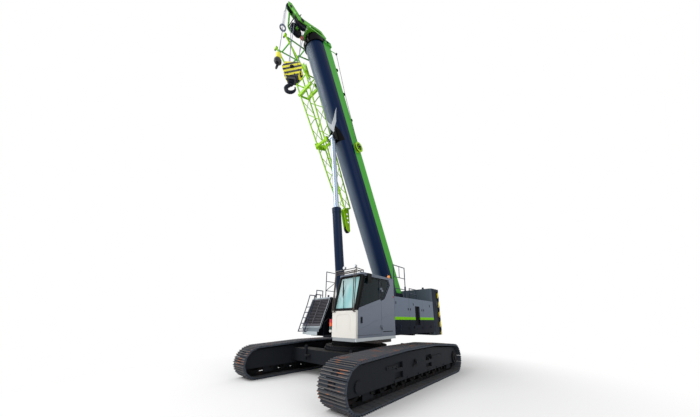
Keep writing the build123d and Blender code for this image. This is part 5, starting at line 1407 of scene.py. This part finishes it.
# ------------------------------------------------------------------ deckhouse, counterweight, walkways
@dataclass
class Deckhouse:
    """Latches, hinges, vents, tread plates and lamps of the hoods, the cooler and the counterweight."""

    side_x: float = 1.51
    top: float = 2.56
    latches: Outline = ((1.16, 2.16), (1.32, 2.16), (2.22, 2.16), (2.38, 2.16), (1.16, 1.50), (2.22, 1.50))
    vent_outer: Outline = ((1.68, 1.59), (1.68, 2.29), (2.03, 2.29), (2.03, 1.59))
    vent_inner: Outline = ((1.702, 1.612), (1.702, 2.268), (2.008, 2.268), (2.008, 1.612))
    grab: tuple[float, float, float] = (0.55, 1.62, 1.42)
    core_low: Point = (-1.47, -1.225, 1.585)
    core_high: Point = (-0.52, -0.835, 2.515)
    cooler_xs: Span = (-1.50, -0.49)
    strap_y: float = 3.67
    rail_posts: tuple[tuple[float, tuple[float, ...]], ...] = (
        (1.47, (0.34, 1.09, 1.39, 1.91)), (-1.47, (-0.27, 0.24, -0.74, -0.43, 0.352, 1.50)))
    drum: Point = (0.0, 2.95, 1.90)
    drum_radius: float = 0.222
    rope_radius: float = 0.010
    rope_turns: int = 28

    @staticmethod
    def latch(x0: float, x1: float, y: float, z: float) -> Piece:
        """A flush latch on a door, between two X."""
        return Bench.block((x0, y - 0.018, z - 0.04), (x1, y + 0.018, z + 0.04), Finish.TRIM, 0.006, 2)

    def left_hood(self) -> Parts:
        """Latches and hinges on the doors, the vent's surround and dark core, and a grab handle."""
        x = self.side_x
        for y, z in self.latches:
            yield self.latch(x, x + 0.012, y, z)
        for y in (0.34, 1.55, 2.95):
            for z in (1.52, 2.35):
                yield Bench.bar((x + 0.006, y, z - 0.045), (x + 0.006, y, z + 0.045), 0.01, Finish.TRIM, 10)
        yield Bench.surround(at_side(x, self.vent_outer), at_side(x, self.vent_inner), (0.006, 0, 0),
                             Finish.TRIM)
        yield Bench.block((x - 0.044, 1.705, 1.615), (x - 0.040, 2.005, 2.265), Finish.TRIM, 0.001, 1)
        y, high, low = self.grab
        yield Bench.tube([(x, y, high), (x + 0.05, y, high), (x + 0.05, y, low), (x, y, low)], 0.009,
                         Finish.RAIL, 0.02)

    def right_hood(self) -> Parts:
        """Latches and a louvre on the far side's doors."""
        x = -self.side_x
        for y in (0.62, 1.62, 2.62):
            for z in (1.55, 2.30):
                yield self.latch(x - 0.012, x, y, z)
        for k in range(9):
            z = 1.66 + 0.07 * k
            yield Bench.block((x - 0.008, 1.85, z), (x, 2.45, z + 0.03), Finish.TRIM, 0.004, 1)

    def tread(self) -> Parts:
        """Raised tread bars on the walkway tops."""
        bar = Bench.block((-0.035, -0.006, 0.0), (0.035, 0.006, 0.004), Finish.RAIL, 0.002, 1)
        for side in SIDES:
            for row in range(30):
                for column in range(4):
                    x = side * (1.30 - 0.09 * column)
                    y = 1.16 + 0.07 * row if side > 0 else 0.35 + 0.09 * row
                    turn = Matrix.Rotation(radians(45.0 if (row + column) % 2 else -45.0), 4, "Z")
                    yield Bench.again(bar, Matrix.Translation((x, y, self.top)) @ turn)
        bpy.data.objects.remove(bar)

    def cooler(self) -> Parts:
        """Dark core behind the slats and bright edging round the cooler's face."""
        (x0, y0, z0), (x1, y1, z1) = self.core_low, self.core_high
        back = 0.012
        yield Bench.plate([(x0, y0 - back, z0), (x1, y0 - back, z0), (x1, y1 - back, z1),
                           (x0, y1 - back, z1)], (0.0, 0.004, 0.0), Finish.TRIM)
        left, right = self.cooler_xs
        foot, head = (y0 - 0.05, z0 - 0.02), (y1 - 0.05, z1 + 0.03)
        for start, end in (((left, *foot), (left, *head)), ((right, *foot), (right, *head)),
                           ((left, *head), (right, *head)), ((left, *foot), (right, *foot))):
            yield Bench.bar(start, end, 0.014, Finish.COOLER, 8)

    def ballast(self) -> Parts:
        """Tail lamps, reflectors, rubber buffers and joint straps of the counterweight."""
        y = self.strap_y
        for s in SIDES:
            yield Bench.block((s * 1.502, 3.93, 1.88), (s * 1.516, 3.99, 1.98), Finish.RED_LENS, 0.006)
            yield Bench.block((s * 1.30, 4.10, 1.42), (s * 1.12, 4.1295, 1.50), Finish.RED_LENS, 0.008)
            yield Bench.block((s * 1.49, 3.98, 1.22), (s * 1.515, 4.03, 1.30), Finish.LAMP, 0.006)
            yield Bench.block((s * 1.502, y - 0.05, 2.40), (s * 1.512, y + 0.05, 2.60), Finish.RAIL, 0.004)
            for z in (2.44, 2.56):
                yield Bench.bar((s * 1.505, y, z), (s * 1.522, y, z), 0.014, Finish.BLACK_STEEL, 6)

    def rail_feet(self) -> Parts:
        """Bolted feet under the rails' posts."""
        z = self.top
        for x, places in self.rail_posts:
            for y in places:
                yield Bench.block((x - 0.045, y - 0.045, z), (x + 0.045, y + 0.045, z + 0.01), Finish.RAIL,
                                  0.004, 1)
                for dx, dy in ((-0.03, -0.03), (0.03, 0.03), (-0.03, 0.03), (0.03, -0.03)):
                    yield Bench.bar((x + dx, y + dy, z + 0.01), (x + dx, y + dy, z + 0.02), 0.008,
                                    Finish.BLACK_STEEL, 6)

    def winch_rope(self) -> Parts:
        """Rope laid on the hoist drum."""
        x, y, z = self.drum
        turns = (0.0, pi / 3, 2 * pi / 3, pi, 4 * pi / 3, 5 * pi / 3, 2 * pi)
        section = [(x + self.rope_radius * cos(a), y, z + self.drum_radius + self.rope_radius * sin(a))
                   for a in turns]
        ring = Bench.lathe(section, self.drum, ALONG_X, Finish.ROPE, 32)
        for k in range(self.rope_turns):
            yield Bench.again(ring, Matrix.Translation((-0.284 + 0.021 * k, 0.0, 0.0)))
        bpy.data.objects.remove(ring)

    def build(self) -> None:
        """Build it all."""
        Bench.hand_over(self.left_hood(), "hood_fittings_left", "upper", "trim_black")
        Bench.hand_over(self.right_hood(), "hood_fittings_right", "upper", "trim_black")
        Bench.hand_over(self.tread(), "tread_bars", "upper", "hood_paint")
        Bench.hand_over(self.cooler(), "cooler_face", "upper", "hood_paint")
        Bench.hand_over(self.ballast(), "ballast_fittings", "upper", "lamp_lenses")
        Bench.hand_over(self.rail_feet(), "rail_feet", "upper", "rail_blue")
        Bench.hand_over(self.winch_rope(), "winch_rope", "upper", "rope")


# ------------------------------------------------------------------ boom
@dataclass
class BoomDress:
    """Rope guides, cable tray, reels and ropes on the boom's base section, in the lying boom's frame."""

    roof: float = 0.50
    front: float = 11.56
    rope_height: float = 0.075
    guide_stations: tuple[float, ...] = (1.4, 3.2, 5.0, 8.3, 9.9, 11.3)
    tray_start: float = 7.7
    tray_pitch: float = 0.11
    tray_steps: int = 34
    lamp_stations: tuple[float, ...] = (10.45, 8.26, 9.4)
    roof_reel: Spot = (7.25, 0.722)
    side_reel_place: Point = (0.47, 6.98, 0.30)
    cable_post: Spot = (0.38, 11.30)
    jib_xs: Spot = (-1.185, -0.50)
    jib_heights: Spot = (-0.95, -0.03)
    jib_station: float = 11.80
    head_foot: float = 11.84

    @staticmethod
    def coil(x: float, station: float, height: float, radius: float, thick: float, steps: int) -> Piece:
        """One turn of cable wound round an axis along X.

        Args:
            x: where the turn lies across the boom.
            station: the axis's station.
            height: the axis's height.
            radius: the turn's radius.
            thick: the cable's radius.
            steps: facets round the turn.

        Returns:
            The turn.
        """
        section = [(x + thick * cos(a), -station, height + radius + thick * sin(a))
                   for a in (0.0, pi / 2, pi, 3 * pi / 2, 2 * pi)]
        return Bench.lathe(section, (0.0, -station, height), ALONG_X, Finish.TRIM, steps)

    @staticmethod
    def spokes(x: float, station: float, height: float, count: int, reach: float, thick: float) -> Parts:
        """Lime spokes of a reel whose axis runs along X."""
        for y, z in ring_about((-station, height), reach, count):
            yield Bench.bar((x, -station, height), (x, y, z), thick, Finish.LIME, 6)

    def roof_work(self) -> Parts:
        """Hoist ropes held by guide frames along the roof, a cable tray beside them and three lamps."""
        roof = self.roof
        line = roof + self.rope_height
        for x in (-0.10, 0.10):
            yield Bench.bar((x, -0.55, line), (x, -self.front + 0.1, line), 0.010, Finish.ROPE, 8)
        for station in self.guide_stations:
            frame = [(-0.20, roof), (-0.20, roof + 0.11), (0.20, roof + 0.11), (0.20, roof)]
            yield Bench.tube([(x, -station, z) for x, z in frame], 0.014, Finish.TRIM, 0.03)
            yield Bench.bar((-0.19, -station, roof + 0.045), (0.19, -station, roof + 0.045), 0.018,
                            Finish.BLACK_STEEL, 12)
        for k in range(self.tray_steps):
            station = self.tray_start + self.tray_pitch * k
            yield Bench.block((0.27, -station - 0.038, roof), (0.36, -station + 0.038, roof + 0.045),
                              Finish.GREEN, 0.008, 1)
        for x in (0.285, 0.345):
            yield Bench.bar((x, -7.6, roof + 0.022), (x, -11.45, roof + 0.022), 0.012, Finish.TRIM, 8)
        for station in self.lamp_stations:
            yield Bench.block((0.36, -station - 0.05, roof - 0.03), (0.42, -station + 0.05, roof + 0.05),
                              Finish.TRIM, 0.012)

    def collar(self) -> Parts:
        """Pad-adjusting plates and bolts round the front collar."""
        y = -self.front + 0.07
        for s in SIDES:
            for z in (0.10, 0.30):
                yield Bench.block((s * 0.449, y - 0.05, z - 0.05), (s * 0.462, y + 0.05, z + 0.05),
                                  Finish.TRIM, 0.004, 1)
                yield Bench.bar((s * 0.455, y, z), (s * 0.470, y, z), 0.02, Finish.BLACK_STEEL, 6)

    def reel_dress(self) -> Parts:
        """Lime rim, spokes and wound cable of the reel on the roof."""
        station, height = self.roof_reel
        rim = [(0.046, 0.19), (0.046, 0.205), (0.056, 0.205), (0.056, 0.19)]
        yield Bench.lathe([(x, -station, height + r) for x, r in rim], (0.0, -station, height), ALONG_X,
                          Finish.LIME, 32)
        yield from self.spokes(0.05, station, height, 6, 0.195, 0.008)
        for radius in (0.10, 0.12, 0.14):
            yield self.coil(0.01, station, height, radius, 0.009, 32)
        yield Bench.bar((0.0, -station, height), (0.075, -station, height), 0.035, Finish.BLACK_STEEL, 16)

    def side_reel(self) -> Parts:
        """Lime cable reel on the roof's edge, with the signal cable that runs out to a post in front."""
        x, station, height = self.side_reel_place
        for face in (x - 0.045, x + 0.045):
            disc = [(face - 0.004, 0.155), (face - 0.004, 0.225), (face + 0.004, 0.225),
                    (face + 0.004, 0.155), (face - 0.004, 0.155)]
            yield Bench.lathe([(a, -station, height + r) for a, r in disc], (face, -station, height),
                              ALONG_X, Finish.LIME, 28)
        for k in range(3):
            yield self.coil(x - 0.028 + 0.028 * k, station, height, 0.15, 0.014, 28)
        yield from self.spokes(x + 0.045, station, height, 5, 0.16, 0.011)
        yield Bench.bar((x - 0.09, -station, height), (x + 0.06, -station, height), 0.05,
                        Finish.BLACK_STEEL, 16)
        yield Bench.block((x - 0.10, -station - 0.06, height - 0.14),
                          (x - 0.055, -station + 0.22, height + 0.02), Finish.LIME, 0.012)
        post, end = self.cable_post
        yield Bench.tube([(x, -station - 0.15, height), (x - 0.03, -9.5, self.roof + 0.02),
                          (post, -end, self.roof + 0.34)], 0.009, Finish.TRIM)
        yield Bench.tube([(post - 0.02, -end, self.roof - 0.02), (post, -end, self.roof + 0.36)], 0.014,
                         Finish.GREEN)
        yield Bench.bar((post - 0.035, -end, self.roof + 0.34), (post + 0.035, -end, self.roof + 0.34),
                        0.035, Finish.BLACK_STEEL, 12)

    def jib_root(self) -> Parts:
        """Struts and braces between the stowed jib's root forks, its black pins and its side plates."""
        (out, near), (low, top), station = self.jib_xs, self.jib_heights, self.jib_station
        struts = [((near, -station, low), (near, -station + 0.08, -0.12)),
                  ((out, -station, low), (out, -station, top)),
                  ((out, -station, -0.80), (near, -station + 0.05, -0.80)),
                  ((out, -station, top), (near, -station, top)),
                  ((near, -station, low), (out, -station + 0.03, top)),
                  ((out, -11.20, -0.64), (near, -11.20, -0.64)),
                  ((out, -11.20, -0.64), (out, -11.28, -0.03)),
                  ((near, -11.20, -0.64), (near, -11.28, -0.03))]
        for start, end in struts:
            yield Bench.tube([start, end], 0.026, Finish.GREEN)
        for x, height in ((out, -1.05), (near, -1.05), (out, -0.02), (near, -0.02)):
            yield Bench.bar((x - 0.13, -11.85, height), (x - 0.055, -11.85, height), 0.03,
                            Finish.BLACK_STEEL, 10)
        shelf = [(-0.49, -10.30), (-0.44, -10.30), (-0.44, -10.95), (-0.56, -10.95), (-0.60, -10.70)]
        for height in (-0.50, -0.38):
            yield Bench.plate([(x, y, height) for x, y in shelf], (0.0, 0.0, 0.018), Finish.LIME, 0.004)
        yield Bench.block((-0.60, -10.78, -0.52), (-0.56, -10.62, -0.34), Finish.LIME, 0.01)

    def head(self) -> Parts:
        """Rope guard bars and pin caps at the head."""
        foot = self.head_foot
        for out, drop in ((0.36, 0.70), (0.20, 0.98)):
            yield Bench.bar((-0.29, -foot - out, -drop), (0.29, -foot - out, -drop), 0.014, Finish.TRIM, 8)
        for s in SIDES:
            for (inner, outer), out, drop, radius in (((0.30, 0.325), 0.09, 0.74, 0.07),
                                                      ((0.088, 0.10), 0.72, 0.90, 0.05)):
                yield Bench.bar((s * inner, -foot - out, -drop), (s * outer, -foot - out, -drop), radius,
                                Finish.BLACK_STEEL, 16)

    @staticmethod
    def limit_weight() -> Parts:
        """The red weight of the hoist limit switch, hanging plumb on its line."""
        x, y, z = RAISED @ Vector((0.0, -11.52, -0.69))
        profile = ((0.0, -0.09), (0.045, -0.085), (0.062, -0.03), (0.055, 0.03), (0.02, 0.09), (0.0, 0.10))
        yield Bench.lathe([(x + r, y, z + h) for r, h in profile], (x, y, z), ALONG_Z, Finish.RED_LENS, 16)
        yield Bench.tube([(x, y, z + 0.09), (x, y, z + 0.62)], 0.008, Finish.ROPE)

    def build(self) -> None:
        """Build it all."""
        Bench.hand_over(self.roof_work(), "boom_roof_fittings", "boom_base", "rope", RAISED)
        Bench.hand_over(self.collar(), "collar_plates", "boom_base", "boom_navy", RAISED)
        Bench.hand_over(self.reel_dress(), "reel_dress", "boom_base", "trim_black", RAISED)
        Bench.hand_over(self.side_reel(), "side_reel", "boom_base", "jib_lime", RAISED)
        Bench.hand_over(self.jib_root(), "jib_root_frame", "boom_base", "jib_lime", RAISED)
        Bench.hand_over(self.head(), "head_fittings", "boom_section_5", "boom_green", RAISED)
        Bench.hand_over(self.limit_weight(), "limit_weight", "boom_section_5", "hook_black")


# ------------------------------------------------------------------ hooks
@dataclass
class Tackle:
    """Pin caps and nuts of the hook block."""

    block_y: float = -3.5301
    turn: float = -45.0
    pin_z: float = 10.52
    cheek: float = 0.135
    bolts: Outline = ((-0.2, 10.66), (0.2, 10.66), (-0.24, 10.40), (0.24, 10.40), (-0.12, 10.18),
                      (0.12, 10.18))

    def block_fittings(self) -> Parts:
        """Sheave pin caps and guard bolts on the block's cheeks."""
        z = self.pin_z
        for side in SIDES:
            face = side * self.cheek
            cap, nut = face + side * 0.022, face + side * 0.04
            yield Bench.bar((face, 0.0, z), (cap, 0.0, z), 0.075, Finish.BLACK_STEEL, 20)
            yield Bench.bar((cap, 0.0, z), (nut, 0.0, z), 0.04, Finish.BLACK_STEEL, 6)
            for y, height in self.bolts:
                yield Bench.bar((face, y, height), (face + side * 0.014, y, height), 0.016,
                                Finish.BLACK_STEEL, 6)

    def build(self) -> None:
        """Build them on the block where it hangs, turned as it is."""
        placing = Matrix.Translation((0.0, self.block_y, 0.0)) @ Matrix.Rotation(radians(self.turn), 4, "Z")
        Bench.hand_over(self.block_fittings(), "block_fittings", "hook_block", "hook_black", placing)


# ------------------------------------------------------------------ studio and camera
@dataclass
class Studio:
    """Plain pale floor, soft lamps, pale surroundings and the camera."""

    eye: Point = (5.8248, -6.3769, 1.7435)
    yaw: float = 41.2077
    pitch: float = 16.7924
    lens: float = 11.608
    sensor: float = 36.0
    shift: Span = (-0.01616, 0.06354)
    clip: Span = (0.05, 600.0)
    floor_size: float = 400.0
    floor_tone: Colour = shade(246, 246, 246)
    fade: Span = (6.5, 2.5)
    sky: float = 0.62
    lamp_size: float = 12.0
    aim: Point = (0.0, 0.0, 4.0)
    lamps: tuple[tuple[str, Point, float], ...] = (
        ("key", (-6.0, -16.0, 16.0), 2600.0), ("fill", (16.0, -4.0, 10.0), 600.0))

    def floor(self) -> None:
        """Lay a wide pale floor that keeps the crane's shadow and fades to white farther out."""
        bpy.ops.object.select_all(action="DESELECT")
        bpy.ops.mesh.primitive_plane_add(size=self.floor_size)
        floor = bpy.context.object
        floor.name = "studio_floor"
        sketch = Sketch("floor_pale")
        material = sketch.finish(self.floor_tone, 0.9, gloss=0.0)
        floor.data.materials.append(material)
        white = sketch.lay("ShaderNodeEmission")
        reach = sketch.lay("ShaderNodeVectorMath", operation="LENGTH")
        sketch.feed(reach.inputs[0], sketch.place)
        far = sketch.step(reach.outputs["Value"], *self.fade)
        seen = sketch.times(self.direct(sketch.tree), far)
        fade = sketch.lay("ShaderNodeMixShader")
        sketch.feed(fade.inputs[0], seen)
        sketch.feed(fade.inputs[1], sketch.shader.outputs[0])
        sketch.feed(fade.inputs[2], white.outputs[0])
        sketch.feed(sketch.output.inputs["Surface"], fade.outputs[0])

    @staticmethod
    def direct(tree: bpy.types.NodeTree) -> Socket:
        """1 for what is seen straight, in a mirror or through glass, and 0 for what only lights."""
        path = lay(tree, "ShaderNodeLightPath")
        total = path.outputs["Is Camera Ray"]
        for ray in ("Is Glossy Ray", "Is Transmission Ray"):
            either = lay(tree, "ShaderNodeMath", operation="MAXIMUM")
            tree.links.new(total, either.inputs[0])
            tree.links.new(path.outputs[ray], either.inputs[1])
            total = either.outputs[0]
        return total

    def surroundings(self) -> None:
        """White seen directly and in reflections, a plain soft light otherwise."""
        world = bpy.data.worlds.new("studio")
        bpy.context.scene.world = world
        world.use_nodes = True
        tree = world.node_tree
        tree.nodes.clear()
        mix = lay(tree, "ShaderNodeMixShader")
        tree.links.new(self.direct(tree), mix.inputs[0])
        for slot, strength in ((1, self.sky), (2, 1.0)):
            sky = lay(tree, "ShaderNodeBackground")
            sky.inputs["Color"].default_value = (1.0, 1.0, 1.0, 1.0)
            sky.inputs["Strength"].default_value = strength
            tree.links.new(sky.outputs[0], mix.inputs[slot])
        tree.links.new(mix.outputs[0], lay(tree, "ShaderNodeOutputWorld").inputs["Surface"])

    def lamp(self, name: str, place: Point, power: float) -> None:
        """Hang one soft square lamp that looks at the crane."""
        bpy.ops.object.light_add(type="AREA", location=place)
        lamp = bpy.context.object
        lamp.name = name
        lamp.data.shape = "SQUARE"
        lamp.data.size = self.lamp_size
        lamp.data.energy = power
        lamp.rotation_mode = "QUATERNION"
        lamp.rotation_quaternion = (Vector(self.aim) - Vector(place)).to_track_quat("-Z", "Y")

    def camera(self) -> None:
        """Set the camera at the viewing place."""
        bpy.ops.object.camera_add(location=self.eye)
        camera = bpy.context.object
        camera.name = "camera"
        camera.data.sensor_width = self.sensor
        camera.data.lens = self.lens
        camera.data.shift_x, camera.data.shift_y = self.shift
        camera.data.clip_start, camera.data.clip_end = self.clip
        yaw, pitch = radians(self.yaw), radians(self.pitch)
        look = Vector((-sin(yaw) * cos(pitch), cos(yaw) * cos(pitch), sin(pitch)))
        camera.rotation_mode = "QUATERNION"
        camera.rotation_quaternion = look.to_track_quat("-Z", "Y")
        bpy.context.scene.camera = camera

    def build(self) -> None:
        """Set up the whole studio."""
        self.floor()
        self.surroundings()
        for name, place, power in self.lamps:
            self.lamp(name, place, power)
        self.camera()
        bpy.context.scene.view_settings.view_transform = "Standard"


def main() -> None:
    """Load the frame and dress the crane."""
    logging.basicConfig(level=logging.INFO, format="%(name)s: %(message)s")
    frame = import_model()
    bpy.ops.object.select_all(action="DESELECT")
    Dressing(frame["nodes"]).dress()
    for label, side in (("left", 1), ("right", -1)):
        Crawler(label, side).build()
    for assembly in (Cab(), Deckhouse(), BoomDress(), Tackle()):
        assembly.build()
    Studio().build()


if __name__ == "__main__":
    main()
